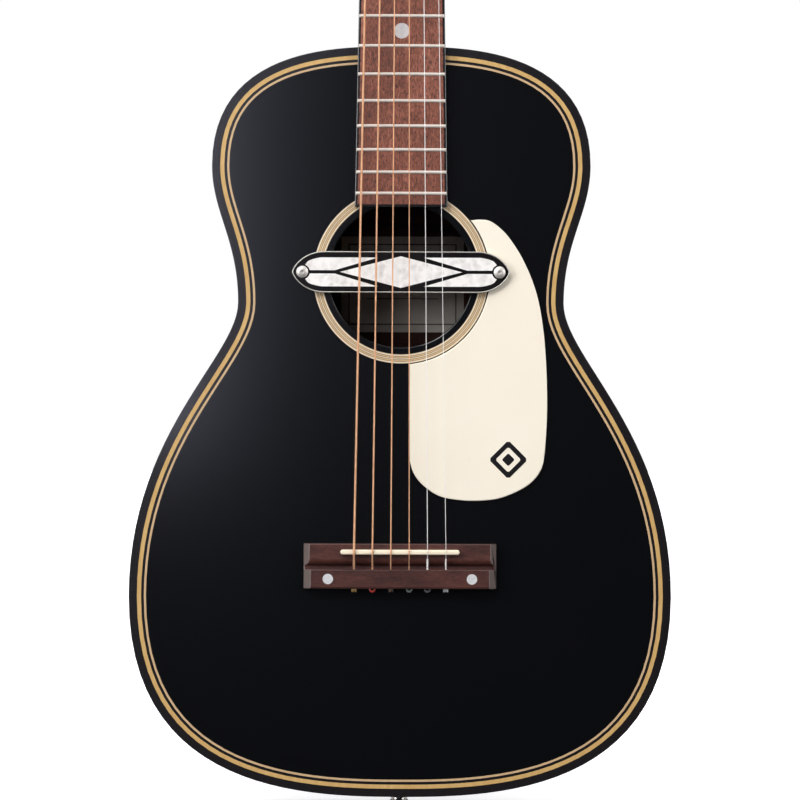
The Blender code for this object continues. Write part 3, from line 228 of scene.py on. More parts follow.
def ease(piece, width, where=None, segments=3, sharper=0.6):
    """Rounds over the sharp edges whose middle passes the test."""
    bpy.context.view_layer.objects.active = piece
    bpy.ops.object.mode_set(mode="EDIT")
    bpy.ops.mesh.select_all(action="SELECT")
    bpy.ops.mesh.dissolve_limited(angle_limit=radians(0.3))
    bpy.ops.mesh.select_mode(type="EDGE")
    bpy.ops.mesh.select_all(action="DESELECT")
    mesh = bmesh.from_edit_mesh(piece.data)
    for edge in mesh.edges:
        if len(edge.link_faces) == 2 and edge.calc_face_angle(0) > sharper:
            middle = (edge.verts[0].co + edge.verts[1].co) / 2
            edge.select_set(where is None or where(middle))
    bmesh.update_edit_mesh(piece.data)
    bpy.ops.mesh.bevel(offset=width, segments=segments, affect="EDGES", clamp_overlap=True)
    bpy.ops.mesh.select_mode(type="VERT")
    bpy.ops.object.mode_set(mode="OBJECT")
    return piece


def fit(piece, material, body="guitar", stands_for=(), slot=None, smooth=35, placed=STOOD):
    """Stands a finished piece in its place, gives it its finish and hangs it on its body."""
    piece.data.transform(piece.matrix_basis)
    piece.matrix_basis = Matrix.Identity(4)
    levels = [face.index for face in piece.data.polygons if abs(face.normal.z) > 0.999 and face.area > 2e-6]
    if placed:
        piece.data.transform(placed)
    piece.data.materials.clear()
    piece.data.materials.append(material)
    bpy.ops.object.select_all(action="DESELECT")
    piece.select_set(True)
    bpy.context.view_layer.objects.active = piece
    bpy.ops.object.shade_smooth_by_angle(angle=radians(smooth))
    for index in levels:
        piece.data.polygons[index].use_smooth = False
    even = piece.modifiers.new("even_shading", "WEIGHTED_NORMAL")
    even.keep_sharp = True
    bpy.ops.object.modifier_apply(modifier=even.name)
    bpy.ops.object.select_all(action="DESELECT")
    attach(piece, body)
    if stands_for:
        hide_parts(*stands_for)
    return piece


def ring(radius, centre, points):
    """Points of a circle."""
    steps = (2 * pi * k / points for k in range(points))
    return [(centre[0] + radius * cos(a), centre[1] + radius * sin(a)) for a in steps]


# The outline's stations: tail, lower bout, waist, upper bout and neck, with the pull of the
# curve before and after each. They are the body mould's own figures.
MOULD = (
    ((0, 0), (0.0557, 0), (0.1646, 0.0015), (0.1646, 0.1215)),
    ((0.1646, 0.1215), (0.1646, 0.2214), (0.0988, 0.2668), (0.0988, 0.2999)),
    ((0.0988, 0.2999), (0.0988, 0.3380), (0.1149, 0.3546), (0.1149, 0.3833)),
    ((0.1149, 0.3833), (0.1149, 0.4589), (0.030, 0.4555), (0, 0.4555)),
)
BODY_LENGTH = MOULD[3][3][1]


def body_line(inset, steps=26):
    """The body's outline, moved in from the edge."""
    half = []
    for curve in MOULD:
        a, b, c, d = (Vector(p) for p in curve)
        for k in range(steps + (curve is MOULD[3])):
            t = k / steps
            here = (1 - t) ** 3 * a + 3 * (1 - t) ** 2 * t * b + 3 * (1 - t) * t ** 2 * c + t ** 3 * d
            way = (1 - t) ** 2 * (b - a) + 2 * (1 - t) * t * (c - b) + t ** 2 * (d - c)
            half.append(here + Vector((-way.y, way.x)).normalized() * inset)
    half[0].x = half[-1].x = 0
    return [tuple(p) for p in half] + [(-p.x, p.y) for p in reversed(half[1:-1])]


TOP_THICK = 0.0028
HOLE_Y, HOLE_RADIUS = 0.3165, 0.0436
black = satin_black()
TOP_INSET = 0.01045
top = plate("soundboard_top", [body_line(TOP_INSET), ring(HOLE_RADIUS, (0, HOLE_Y), 128)], -TOP_THICK, 0)
ease(top, 0.0009, lambda p: (p.xy - Vector((0, HOLE_Y))).length < HOLE_RADIUS + 0.001 and p.z > -0.001, 4)
fit(top, black, stands_for=["soundboard"], slot="black_lacquer")

# ---------------------------------------------------------------- edge of the top
# Working in from the edge: a black binding with a rounded corner, a broad strip of tan wood, a
# black strip and a thin tan strip, all let into a ledge and levelled under the lacquer.
BINDING_WIDE, LEDGE, PROUD = 0.00495, 0.0014, 0.00003


def gloss_black(name="gloss_black", grey="161415", coat=0.5, shine=0.5):
    """Black binding plastic, buffed, with a few hairline scuffs."""
    finish = Finish(name, Coat_Weight=coat, Coat_Roughness=0.08, Specular_Ior_Level=shine)
    scuff = finish.cloud(160, finish.spot((1, 1, 0.2)), 5, 0.7)
    finish.set(Base_Color=finish.blend(scuff, tone(grey), tone("201d1e")), Roughness=0.16 + scuff * 0.14)
    finish.relief(finish.cloud(500, detail=1), 0.00003, 0.3)
    return finish.material


def tan_strip(name="tan_strip", dark="b98f54", light="e2bf80", stain="c39a5c"):
    """A tan maple line: short grain along it, a little darker in places."""
    finish = Finish(name, Coat_Weight=0.35, Coat_Roughness=0.2)
    grain = finish.cloud(420, finish.spot((1, 1, 0.35)), 3, 0.6)
    drift = finish.cloud(22, detail=2)
    warm = finish.blend(grain, tone(dark), tone(light))
    finish.set(
        Base_Color=finish.blend((drift * 0.5).clipped(), warm, tone(stain)), Roughness=0.34 + grain * 0.12)
    finish.relief(grain, 0.00004, 0.4)
    return finish.material


binding_black = gloss_black()
OUTER_WALL = body_line(0, 60)


def rim_side(p, reach=0.0012):
    """True for a point on the outer wall of the body, not on the inner wall of its binding."""
    return min((p.xy - Vector(q)).length for q in OUTER_WALL) < reach


edge = plate("binding_top_edge", [body_line(0), body_line(BINDING_WIDE)], -TOP_THICK - 0.0002, 0)
ease(edge, 0.0012, lambda p: p.z > -0.0005 and rim_side(p), 4)
fit(edge, binding_black, stands_for=["binding_top"], slot="binding_black")
pale_tan = tan_strip("pale_tan_strip", "b8956c", "dcbf97", "c4a27c")
for name, outer, inner, high, wood, stands_for in (
    ("purfling_broad", 0.0050, 0.0075, PROUD, tan_strip(), ["purfling"]),
    ("purfling_black", 0.0075, 0.0092, PROUD / 3, binding_black, ()),
    ("purfling_fine", 0.0092, 0.0105, PROUD, pale_tan, ()),
):
    strip = plate(name, [body_line(outer), body_line(inner)], -LEDGE, high)
    fit(strip, wood, stands_for=stands_for, slot="purfling_cream")

# ---------------------------------------------------------------- ribs
# Two thin ribs bent on a mould, black lacquered outside and bare reddish wood inside. They meet
# at the tail under the end pin and at the neck under the heel. The back edge slopes up.
BACK_DEPTH, BACK_RISE = 0.095, 0.013 / BODY_LENGTH
BACK_EDGE_HIGH, RIB_THICK, WIDEST = 0.0029, 0.0022, 0.24


def slope(piece, below=-0.04):
    """Tapers the body: the back comes up towards the neck."""
    for point in piece.data.vertices:
        if point.co.z < below:
            point.co.z += BACK_RISE * point.co.y
    return piece


def bare_wood(name, dark, light, run=(8, 8, 0.5), scale=55):
    """Unfinished planed wood, with the grain along the axis that is stretched least."""
    finish = Finish(name)
    figure = finish.cloud(scale, finish.spot(run), 5, 0.62)
    pores = finish.cloud(scale * 9, finish.spot(run), 2, 0.5)
    wood = finish.ramp(figure, (0.28, tone(dark)), (0.72, tone(light)))
    finish.set(
        Base_Color=finish.blend((pores * 0.35).clipped(), wood, tone(dark)), Roughness=0.62 + pores * 0.2)
    finish.relief(pores, 0.0001, 0.4)
    return finish.material


red_wood = bare_wood("bare_sapele", "2b120b", "5a2c1b", (0.5, 6, 6))


def sawn(piece, *cuts):
    """Saws a piece along planes, each a point and a normal, and drops what lies past the normal."""
    bpy.context.view_layer.objects.active = piece
    bpy.ops.object.mode_set(mode="EDIT")
    for point, normal in cuts:
        bpy.ops.mesh.select_all(action="SELECT")
        bpy.ops.mesh.bisect(plane_co=point, plane_no=normal, use_fill=True, clear_outer=True)
    bpy.ops.object.mode_set(mode="OBJECT")
    return piece


for side, hand in (("treble", 1), ("bass", -1)):
    wall = [body_line(0), body_line(RIB_THICK)]
    rib = slope(plate(f"rib_{side}", wall, -BACK_DEPTH + BACK_EDGE_HIGH, -TOP_THICK - 0.0002))
    sawn(rib, ((hand * 0.00004, 0, 0), (-hand, 0, 0)))
    fit(rib, black, stands_for=[f"side_{side}"], slot="black_lacquer")
    rib.data.materials.append(red_wood)
    for face in rib.data.polygons:
        # A face of the inner wall looks across the body, or at its ends back to the middle.
        back_to_middle = face.normal.z * (face.center.z - WIDEST) < -0.004
        if hand * face.normal.x < -0.05 or (abs(face.normal.x) < 0.05 and back_to_middle):
            face.material_index = 1

# ---------------------------------------------------------------- back
# A flat back plate, lacquered outside, let in between a narrow black binding. Four ladder
# braces and a lining with the ribs' curve hold it, and the maker's label is pasted inside.
back = slope(plate("back_plate", [body_line(0.00255)], -BACK_DEPTH, -BACK_DEPTH + TOP_THICK))
fit(back, black, stands_for=["back"], slot="black_lacquer")
back.data.materials.append(red_wood)
for face in back.data.polygons:
    face.material_index = 1 if face.normal.y < -0.5 else 0
back_rim = [body_line(0), body_line(0.0025)]
back_edge = plate("binding_back_edge", back_rim, -BACK_DEPTH, -BACK_DEPTH + BACK_EDGE_HIGH)
ease(back_edge, 0.0009, lambda p: p.z < -BACK_DEPTH + 0.0005 and rim_side(p), 4)
fit(slope(back_edge), binding_black, stands_for=["binding_back"], slot="binding_black")

# ---------------------------------------------------------------- inside of the body
# Blocks, kerfed linings, braces and bridge plate are bare wood, glued and left unfinished. Their
# solids have the right shape, so they are only given their wood.
pale_wood = bare_wood("bare_spruce", "9a7448", "cda878", (0.6, 6, 6), 70)


def dress(material, *nodes):
    """Gives CAD solids whose shape is right their finish."""
    for node in nodes:
        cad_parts[node].data.materials.clear()
        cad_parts[node].data.materials.append(material)


dress(red_wood, "neck_block", "tail_block", "lining_top", "lining_back", "bridge_plate")
dress(pale_wood, "x_brace_bass", "x_brace_treble", "transverse_brace", "tone_bar_upper",
      "tone_bar_lower", *(f"back_brace_{number}" for number in range(1, 5)))


def label_paper():
    """Old grey paper with a printed double frame and ruled lines, and nothing written on it."""
    finish = Finish("label_paper", Specular_Ior_Level=0.2)
    across = abs(finish.axis("X") - LABEL_X)
    up = abs(finish.axis("Z") - LABEL_Z)
    half_x, half_z, margin, line = LABEL_WIDE / 2, LABEL_HIGH / 2, 0.005, 0.0004
    frame_x = (abs(across - (half_x - margin)) < line) * (up < half_z - margin + line)
    frame_z = (abs(up - (half_z - margin)) < line) * (across < half_x - margin + line)
    rules = (abs(up - 0.009) < 0.00025) * (across < half_x - 0.016)
    head_rule = (abs(finish.axis("Z") - LABEL_Z - 0.0195) < 0.0011) * (across < half_x - 0.013)
    ink = (frame_x + frame_z + rules + head_rule).clipped()
    stain = finish.cloud(45, detail=4)
    paper = finish.ramp(stain, (0.3, tone("c9c2b8")), (0.7, tone("e6e0d6")))
    finish.set(Base_Color=finish.blend(ink * 0.8, paper, tone("1d1a18")), Roughness=0.85)
    finish.relief(finish.cloud(900, detail=2), 0.00005, 0.4)
    return finish.material


LABEL_X, LABEL_WIDE, LABEL_HIGH, LABEL_Y = 0.001, 0.077, 0.060, 0.3135
LABEL_Z = tail_z + LABEL_Y
bpy.ops.mesh.primitive_plane_add(size=1)
label = bpy.context.object
label.name = "paper_label"
bpy.ops.object.mode_set(mode="EDIT")
bpy.ops.transform.resize(value=(LABEL_WIDE, LABEL_HIGH, 1))
bpy.ops.mesh.subdivide(number_cuts=12)
bpy.ops.mesh.extrude_region_move(TRANSFORM_OT_translate={"value": (0, 0, 0.0002)})
bpy.ops.object.mode_set(mode="OBJECT")
label.data.transform(Matrix.Translation((LABEL_X, LABEL_Y, -BACK_DEPTH + TOP_THICK + 0.0001)))
close_up(slope(label))
fit(label, label_paper(), slot="inner_wood")

# ---------------------------------------------------------------- rosette
# Seven thin rings of pale and tan wood with dark lines between, laid in a channel round the
# soundhole and levelled with the top.
ROSETTE_IN, ROSETTE_OUT = 0.0477, 0.0534


def rosette_rings():
    """Rings of pale and honey wood about the soundhole, with dark lines between them."""
    finish = Finish("rosette_rings", Coat_Weight=0.3, Coat_Roughness=0.15)
    across = finish.axis("X")
    up = finish.axis("Z") - (tail_z + HOLE_Y)
    share = ((across * across + up * up) ** 0.5 - ROSETTE_IN) * (1 / (ROSETTE_OUT - ROSETTE_IN))
    pale, honey, line = tone("efe0c6"), tone("d9b98a"), tone("4a3627")
    border = tone("2a1f19")
    grain = finish.cloud(500, detail=3)
    rings = finish.ramp(
        share, (0.0, border), (0.04, pale), (0.21, line), (0.265, honey), (0.40, line), (0.455, pale),
        (0.56, line), (0.615, honey), (0.75, line), (0.80, pale), (0.97, border), step=True)
    finish.set(Base_Color=finish.blend(grain * 0.35, rings, tone("b08c60")), Roughness=0.3 + grain * 0.15)
    finish.relief(grain, 0.00003, 0.3)
    return finish.material


channel = [ring(radius, (0, HOLE_Y), 160) for radius in (ROSETTE_OUT, ROSETTE_IN)]
rosette = plate("rosette_inlay", channel, -0.0011, 0.00004)
fit(rosette, rosette_rings(), stands_for=["rosette"], slot="rosette_maple")

# ---------------------------------------------------------------- pickguard
# A flag of thin ivory plastic on the treble side, cut round the rosette, with a broken edge all
# round. A plain lozenge ornament is printed in black near its lower corner.
GUARD_THICK, GUARD_LIFT = 0.0012, 0.0003
GUARD_REACH = 0.0540
GUARD_EDGE = (
    (0.0480, 0.3506), (0.0540, 0.3497), (0.0602, 0.3454), (0.0655, 0.3398), (0.0722, 0.3298),
    (0.0782, 0.3176), (0.0826, 0.3050), (0.0856, 0.2905), (0.0877, 0.2727), (0.0889, 0.2487),
    (0.0889, 0.2307), (0.0879, 0.2127), (0.0861, 0.2007), (0.0807, 0.1923), (0.0722, 0.1863),
    (0.0602, 0.1815), (0.0480, 0.1800), (0.0360, 0.1803), (0.0240, 0.1827), (0.0145, 0.1887),
    (0.0085, 0.1959), (0.0058, 0.2043),
)


def drawn_through(points, steps=6):
    """A smooth line through all the points but the first and last, which only steer it."""
    line = []
    for before, here, there, after in zip(points, points[1:], points[2:], points[3:]):
        a, b, c, d = (Vector(p) for p in (before, here, there, after))
        for k in range(steps):
            t = k / steps
            line.append(0.5 * (2 * b + (c - a) * t + (2 * a - 5 * b + 4 * c - d) * t * t
                               + (3 * b - a - 3 * c + d) * t ** 3))
    return [tuple(p) for p in line] + [tuple(points[-2])]


def ivory(name="ivory_plastic", light="fbf3e4", dark="f3e8d4"):
    """Cream plastic sheet, polished, a shade warmer in patches, with fine handling marks."""
    finish = Finish(name, Subsurface_Weight=0.05, Coat_Weight=0.15, Coat_Roughness=0.1)
    finish.shader.inputs["Subsurface Radius"].default_value = (0.004, 0.003, 0.002)
    patch = finish.cloud(14, detail=3)
    marks = finish.cloud(260, finish.spot((1, 1, 0.12), turn=(0, 0.5, 0)), 4, 0.7)
    finish.set(Base_Color=finish.blend(patch, tone(dark), tone(light)), Roughness=0.24 + marks * 0.12)
    finish.relief(marks + finish.cloud(700, detail=1), 0.00002, 0.35)
    return finish.material


cream = ivory()
horn, straight = pi / 2 - asin(0.0336 / GUARD_REACH), pi - asin(0.0056 / GUARD_REACH)
hollow = [(GUARD_REACH * sin(a), HOLE_Y + GUARD_REACH * cos(a))
          for a in (straight + (horn - straight) * k / 64 for k in range(64))]
tip = (GUARD_REACH * sin(horn), HOLE_Y + GUARD_REACH * cos(horn))
free_edge = drawn_through([(0.0366, 0.3496), tip, *GUARD_EDGE, (0.0057, 0.2130)])
guard = plate("pickguard_sheet", [hollow + free_edge], 0.0001, GUARD_LIFT + GUARD_THICK)
ease(guard, 0.0005, lambda p: p.z > GUARD_THICK, 3)
fit(guard, cream, stands_for=["pickguard"], slot="ivory_plastic")

ORNAMENT = (0.0655, 0.2050)


def lozenge(reach, soft):
    """A diamond about the ornament's centre. Soft cuts its corners."""
    x, y = ORNAMENT
    far, near = reach * (1 - soft), reach * soft
    corners = ((far, -near), (far, near), (near, far), (-near, far),
               (-far, near), (-far, -near), (-near, -far), (near, -far))
    return [(x + across, y + up) for across, up in corners]


for name, loops in (
    ("ornament_ring", [lozenge(0.0118, 0.08), lozenge(0.0078, 0.08)]),
    ("ornament_heart", [lozenge(0.0040, 0.12)]),
):
    mark = plate(name, loops, GUARD_THICK, GUARD_LIFT + GUARD_THICK + 0.00006)
    fit(mark, binding_black, slot="black_plastic")

# ---------------------------------------------------------------- soundhole pickup
# A long black cover with blunt points, edged in bright nickel, with four pearloid panels and a
# pearloid lozenge let into its face. A domed screw at each end holds it to the top.
PICKUP_Y, COVER_LOW, COVER_HIGH = 0.3185, 0.0022, 0.0047
SCREW_X, SCREW_RADIUS = 0.0598, 0.0036


def nickel(name="nickel", grey="b9b6b0", rough=0.17, metal=1.0):
    """Plated nickel: fine polishing lines and a little cloudiness."""
    finish = Finish(name, Metallic=metal)
    lines = finish.cloud(900, finish.spot((1, 1, 0.08), turn=(0.3, 0.5, 0)), 3, 0.7)
    cloud = finish.cloud(110, detail=3)
    finish.set(
        Base_Color=finish.blend(cloud, tone(grey), tone("d9d6cf")), Roughness=rough + lines * 0.1 + cloud * 0.07)
    finish.relief(lines, 0.00002, 0.3)
    return finish.material


def pearloid(name="pearloid", dark="d5d1cd", light="f7f3f0", size=230):
    """Pearloid sheet: curled flakes that each catch the light differently, under a polish."""
    finish = Finish(name, Coat_Weight=0.6, Coat_Roughness=0.06)
    push = finish.cloud(size, detail=3)
    place = finish.add("ShaderNodeVectorMath", {"operation": "MULTIPLY_ADD"}, {
        0: finish.add("ShaderNodeTexNoise", {}, {"Vector": finish.spot(), "Scale": size * 0.8}, output=1),
        1: (0.006, 0.006, 0.006), 2: finish.spot()})
    flakes = finish.add("ShaderNodeTexVoronoi", {"feature": "SMOOTH_F1"}, {
        "Vector": place, "Scale": size, "Smoothness": 0.35})
    sheet = finish.ramp(flakes * 0.9 + push * 0.35, (0.12, tone(dark)), (0.75, tone(light)))
    finish.set(Base_Color=sheet, Roughness=0.22 + push * 0.12)
    return finish.material


bright = nickel()
pearl = pearloid()


def cover_line(inset, steps=22):
    """The cover's outline, moved in: long straight edges, and ends drawn in to a point."""
    straight, half, wide = 0.0458, 0.0660 - inset * 1.1, 0.0125 - inset
    shares = [sin(pi / 2 * k / steps) for k in range(steps)]
    quarter = [(straight + (half - straight) * t, wide * (1 - t ** 2.2) ** 0.7) for t in shares]
    right = [(x, -y) for x, y in quarter] + [(half, 0)] + quarter[::-1]
    whole = right + [(-x, y) for x, y in reversed(right)]
    return [(x, PICKUP_Y + y) for x, y in whole]


rim = plate("pickup_rim", [cover_line(0), cover_line(0.0007)], COVER_LOW, COVER_HIGH)
ease(rim, 0.0003, lambda p: p.z > COVER_HIGH - 0.0003, 3)
fit(rim, nickel("rim_nickel", "cfcac2", 0.42), slot="nickel")
face = plate("pickup_face", [cover_line(0.00071)], COVER_LOW, COVER_HIGH - 0.00012)
fit(face, gloss_black("pickup_black", "0b0908", 0.12, 0.15), stands_for=["pickup_cover"], slot="black_plastic")

# The panels lie beside the straight edges; each keeps clear of its screw in a hollow curve.
SCREW_ROOM = 0.0046
corner = [(-SCREW_X + SCREW_ROOM * cos(a), SCREW_ROOM * sin(a))
          for a in (radians(13 + 55 * k / 12) for k in range(13))]
top_edge = drawn_through([(-0.0600, 0.0020), corner[-1], (-0.0562, 0.0065), (-0.0527, 0.0079),
                          (-0.0480, 0.0088), (-0.0430, 0.0088)], 4)
quarter_panel = corner + top_edge[1:] + [(-0.0138, 0.0088), (-0.0402, 0.0010)]
for name, across, up in (
    ("left_upper", 1, 1), ("left_lower", 1, -1), ("right_upper", -1, 1), ("right_lower", -1, -1),
):
    outline = [(across * x, PICKUP_Y + up * y) for x, y in quarter_panel]
    panel = plate(f"pickup_panel_{name}", [outline], COVER_HIGH - 0.0002, COVER_HIGH - 0.00002)
    fit(panel, pearl, slot="ivory_plastic")
diamond = [(x, PICKUP_Y + y) for x, y in ((0.037, 0), (0, 0.0096), (-0.037, 0), (0, -0.0096))]
fit(plate("pickup_lozenge", [diamond], COVER_HIGH - 0.0002, COVER_HIGH), pearl, slot="ivory_plastic")


def skin(name, rings):
    """A skin over rings of points, made from a grid whose rows are laid on the rings."""
    around, along = len(rings[0]) + 1, len(rings)
    bpy.ops.object.select_all(action="DESELECT")
    bpy.ops.mesh.primitive_grid_add(x_subdivisions=around - 1, y_subdivisions=along - 1, size=2)
    piece = bpy.context.object
    piece.name = piece.data.name = name
    for point in piece.data.vertices:
        column = round((point.co.x + 1) / 2 * (around - 1))
        row = round((point.co.y + 1) / 2 * (along - 1))
        point.co = rings[row][column % len(rings[0])]
    return close_up(piece)


def turned(name, profile, sides=32):
    """A piece turned on the lathe: the profile is radius and height, from one end to the other."""
    return skin(name, [[(x, y, height) for x, y in ring(radius, (0, 0), sides)] for radius, height in profile])


def cut(piece, tool, operation="DIFFERENCE"):
    """Cuts one piece with another, and clears the tool away."""
    step = piece.modifiers.new("cut", "BOOLEAN")
    step.operation, step.solver, step.object = operation, "EXACT", tool
    bpy.ops.object.select_all(action="DESELECT")
    bpy.context.view_layer.objects.active = piece
    bpy.ops.object.modifier_apply(modifier=step.name)
    bpy.data.objects.remove(tool)
    return piece


def block(name, low, high):
    """A sawn block between two corners."""
    bpy.ops.object.select_all(action="DESELECT")
    bpy.ops.mesh.primitive_cube_add(size=1)
    piece = bpy.context.object
    piece.name = piece.data.name = name
    low, high = Vector(low), Vector(high)
    piece.data.transform(Matrix.Translation((low + high) / 2) @ Matrix.Diagonal((*(high - low), 1)))
    return piece


def copies(model, names):
    """A model under each name in turn, every copy with a mesh of its own. The last is the model."""
    for name in names:
        piece = model
        if name != names[-1]:
            piece = model.copy()
            piece.data = model.data.copy()
            bpy.context.scene.collection.objects.link(piece)
        piece.name = piece.data.name = name
        yield piece


dome = turned("screw_head", [
    (0, 0.00135), (0.0008, 0.00133), (0.0017, 0.00118), (0.0026, 0.0009), (0.0033, 0.0005),
    (SCREW_RADIUS, 0.0001), (SCREW_RADIUS, 0), (0.0015, 0), (0.0015, -0.0024), (0, -0.0024)], 40)
cut(dome, turned("hex_key_socket", [(0, 0.0030), (0.0012, 0.0030), (0.0012, 0.0005), (0, 0.0003)], 6))
ease(dome, 0.00012, lambda p: p.z > 0.00055, 2)
washer = turned("screw_washer", [
    (0.0016, 0.0), (0.0043, 0.0), (0.0043, 0.00012), (0.0016, 0.00012), (0.0016, 0)], 40)
screw_nickel = nickel("screw_nickel", "dcd4cf", 0.42, 0.75)
sides = (("pickup_screw_bass", -1, 0.5), ("pickup_screw_treble", 1, -0.9))
heads, washers = (copies(model, [side[0] + part for side in sides])
                  for model, part in ((dome, "_head"), (washer, "_washer")))
for (name, hand, turn), head, ring_under in zip(sides, heads, washers):
    seat = Matrix.Translation((hand * SCREW_X, PICKUP_Y, COVER_HIGH - 0.0001))
    head.data.transform(seat @ Matrix.Translation((0, 0, 0.0004)) @ Matrix.Rotation(turn, 4, "Z"))
    fit(head, screw_nickel, stands_for=[name], slot="nickel")
    ring_under.data.transform(seat)
    fit(ring_under, binding_black, slot="black_plastic")
dress(binding_black, "pickup_housing")

# ---------------------------------------------------------------- bridge
# A pinless bridge of dark walnut: a saddle land, a rounded slope into a valley, and an anchor
# block bored for the strings. Its ends are chamfered, and its two bolts hide under pearl dots.
BRIDGE_HALF, FRONT, TAIL, CHAMFER_X = 0.0584, 0.1539, 0.1266, 0.0540
SADDLE_Y = 0.1489
LAND_HIGH, VALLEY_HIGH, BLOCK_HIGH = 0.0075, 0.0038, 0.0086
ACROSS = Matrix(((0, 0, 1, 0), (1, 0, 0, 0), (0, 1, 0, 0), (0, 0, 0, 1)))
STRING_RADII = (0.00067, 0.00053, 0.00041, 0.00030, 0.00021, 0.00017)
NUT_Y = 0.7605


def walnut(name, dark, mid, light, run, pore, rough, deep=0.6, coat=0.08, painted_chamfer_sheen=False):
    """Oiled walnut: drifting figure, short dark pores along the grain, and a dry sheen. On the bridge the
    chamfers, which cut across the grain, get a painted highlight: paler and greyer than the rest."""
    finish = Finish(name, Specular_Ior_Level=0.5, Coat_Roughness=0.3)
    figure = finish.cloud(26, finish.spot(run), 4, 0.6)
    fibre = finish.cloud(pore * 0.55, finish.spot(run), 4, 0.7)
    flecks = finish.cloud(pore, finish.spot(run), 2, 0.55)
    stops = (0.36, tone(dark)), (0.5, tone(mid)), (0.63, tone(light))
    wood = finish.ramp(figure * 0.45 + fibre * 0.55, *stops)
    slits = ((flecks - 0.52) * 7.0).clipped() * deep
    colour = finish.blend(slits, wood, tone("2a1511"))
    if painted_chamfer_sheen:
        # Painted highlight: the chamfers at the bridge's ends are blended three quarters of the way to pale
        # grey, standing in for the side light they catch.
        across = abs(finish.axis("X"))
        chamfer = (face_y - finish.axis("Y") + (across - CHAMFER_X) * 1.25 > 0.0083) * (across > CHAMFER_X)
        colour = finish.blend(chamfer * 0.75, colour, tone("6a5f5b"))
    finish.set(
        Base_Color=colour, Roughness=rough + fibre * 0.15 + slits * 0.1, Coat_Weight=coat + figure * 0.06)
    finish.relief(fibre * 0.4 + slits * -0.8, 0.0001, 0.45)
    return finish.material


def rounded(centre, wide, high, first, last, steps):
    """Points on a quarter of an oval, from one angle in degrees to another."""
    angles = (radians(first + (last - first) * k / steps) for k in range(steps + 1))
    return [(centre[0] + wide * cos(a), centre[1] + high * sin(a)) for a in angles]


BLOCK_FRONT = 0.1383
profile = [
    (TAIL, 0.0003), (FRONT, 0.0003),
    *rounded((FRONT - 0.0007, LAND_HIGH - 0.0007), 0.0007, 0.0007, 0, 90, 4),
    *rounded((0.1446, VALLEY_HIGH + 0.0001), 0.0038, LAND_HIGH - VALLEY_HIGH - 0.0001, 90, 178, 10),
    (0.1404, VALLEY_HIGH), (BLOCK_FRONT, VALLEY_HIGH),
    *rounded((BLOCK_FRONT - 0.0006, BLOCK_HIGH - 0.0006), 0.0006, 0.0006, 0, 90, 3),
    *rounded((TAIL + 0.0014, BLOCK_HIGH - 0.0014), 0.0014, 0.0014, 90, 180, 6),
]
bridge = plate("walnut_bridge", [profile], -BRIDGE_HALF, BRIDGE_HALF)
bridge.data.transform(ACROSS)
for hand in (1, -1):
    inner, outer = hand * (BRIDGE_HALF - 0.0044), hand * (BRIDGE_HALF + 0.002)
    section = [(outer, 0.0008), (inner, BLOCK_HIGH + 0.0002), (inner, 0.02), (outer, 0.02)]
    wedge = plate("wedge", [section], -0.17, -0.11)
    wedge.data.transform(Matrix.Rotation(pi / 2, 4, "X"))
    cut(bridge, wedge)
ease(bridge, 0.0005, lambda p: abs(p.x) > BRIDGE_HALF - 0.0070 and p.z > 0.0008, 2, 0.35)


def slot_line(half, thick, y):
    """A slot with round ends."""
    right = [(half - thick + thick * sin(a), y - thick * cos(a)) for a in (k * pi / 12 for k in range(13))]
    return right + [(-x, y) for x, y in reversed(right)]


cut(bridge, plate("slot", [slot_line(0.0362, 0.0016, SADDLE_Y)], LAND_HIGH - 0.004, 0.02))


def string_x(index, y):
    """Where a string lies across the guitar. Index 0 is the lowest string, on the bass side."""
    along = (y - SADDLE_Y) / (NUT_Y - SADDLE_Y)
    return (0.0556 + (0.0355 - 0.0556) * along) * (index / 5 - 0.5)


def string_z(index, y):
    """Height of a string's centre line between the saddle and the nut."""
    along = (y - SADDLE_Y) / (NUT_Y - SADDLE_Y)
    return 0.0116 + (0.0080 - 0.0116) * along + STRING_RADII[index]


def tube(name, points, radius, round_by=4):
    """A round wire along a line of points, with closed ends."""
    bpy.ops.object.select_all(action="DESELECT")
    bpy.ops.curve.primitive_bezier_curve_add(radius=0.1)
    drawn = bpy.context.object
    drawn.name = name
    shape = drawn.data
    shape.splines.clear()
    shape.dimensions = "3D"
    shape.bevel_depth, shape.bevel_resolution, shape.use_fill_caps = radius, round_by, True
    line = shape.splines.new("POLY")
    line.points.add(len(points) - 1)
    for point, here in zip(line.points, points):
        point.co = (*here, 1)
    bpy.ops.object.convert(target="MESH")
    piece = bpy.context.object
    piece.name = piece.data.name = name
    return close_up(piece)


for index, radius in enumerate(STRING_RADII):
    x = string_x(index, SADDLE_Y)
    cut(bridge, tube("bore", [(x, TAIL + 0.0005, 0.0036), (x, 0.1425, 0.0066)], radius + 0.00045, 6))
    cut(bridge, block("ball_seat", (x - 0.0023, TAIL - 0.004, 0.0010), (x + 0.0023, TAIL + 0.0021, 0.0058)))
# The bridge's walnut, with a painted highlight on its end chamfers.
dark_walnut = walnut(
    "bridge_walnut", "2c1410", "492620", "61372c", (1.1, 5, 5), 640, 0.36, coat=0.2, painted_chamfer_sheen=True)
fit(bridge, dark_walnut, stands_for=["bridge"], slot="bridge_walnut", smooth=30)
bridge_pearl = pearloid("bridge_pearl", "c3c3c5", "d2d2d4", 420)
button = plate("bolt_dot", [ring(0.00315, (0, 0), 40)], BLOCK_HIGH - 0.0004, BLOCK_HIGH + 0.00006)
for hand, dot in zip((-1, 1), copies(button, ["bridge_dot_bass", "bridge_dot_treble"])):
    dot.data.transform(Matrix.Translation((hand * 0.0436, 0.1326, 0)))
    fit(dot, bridge_pearl, slot="ivory_plastic")

# ---------------------------------------------------------------- saddle
# A bar of bone glued in the bridge's slot, its top rounded over and polished by the strings.


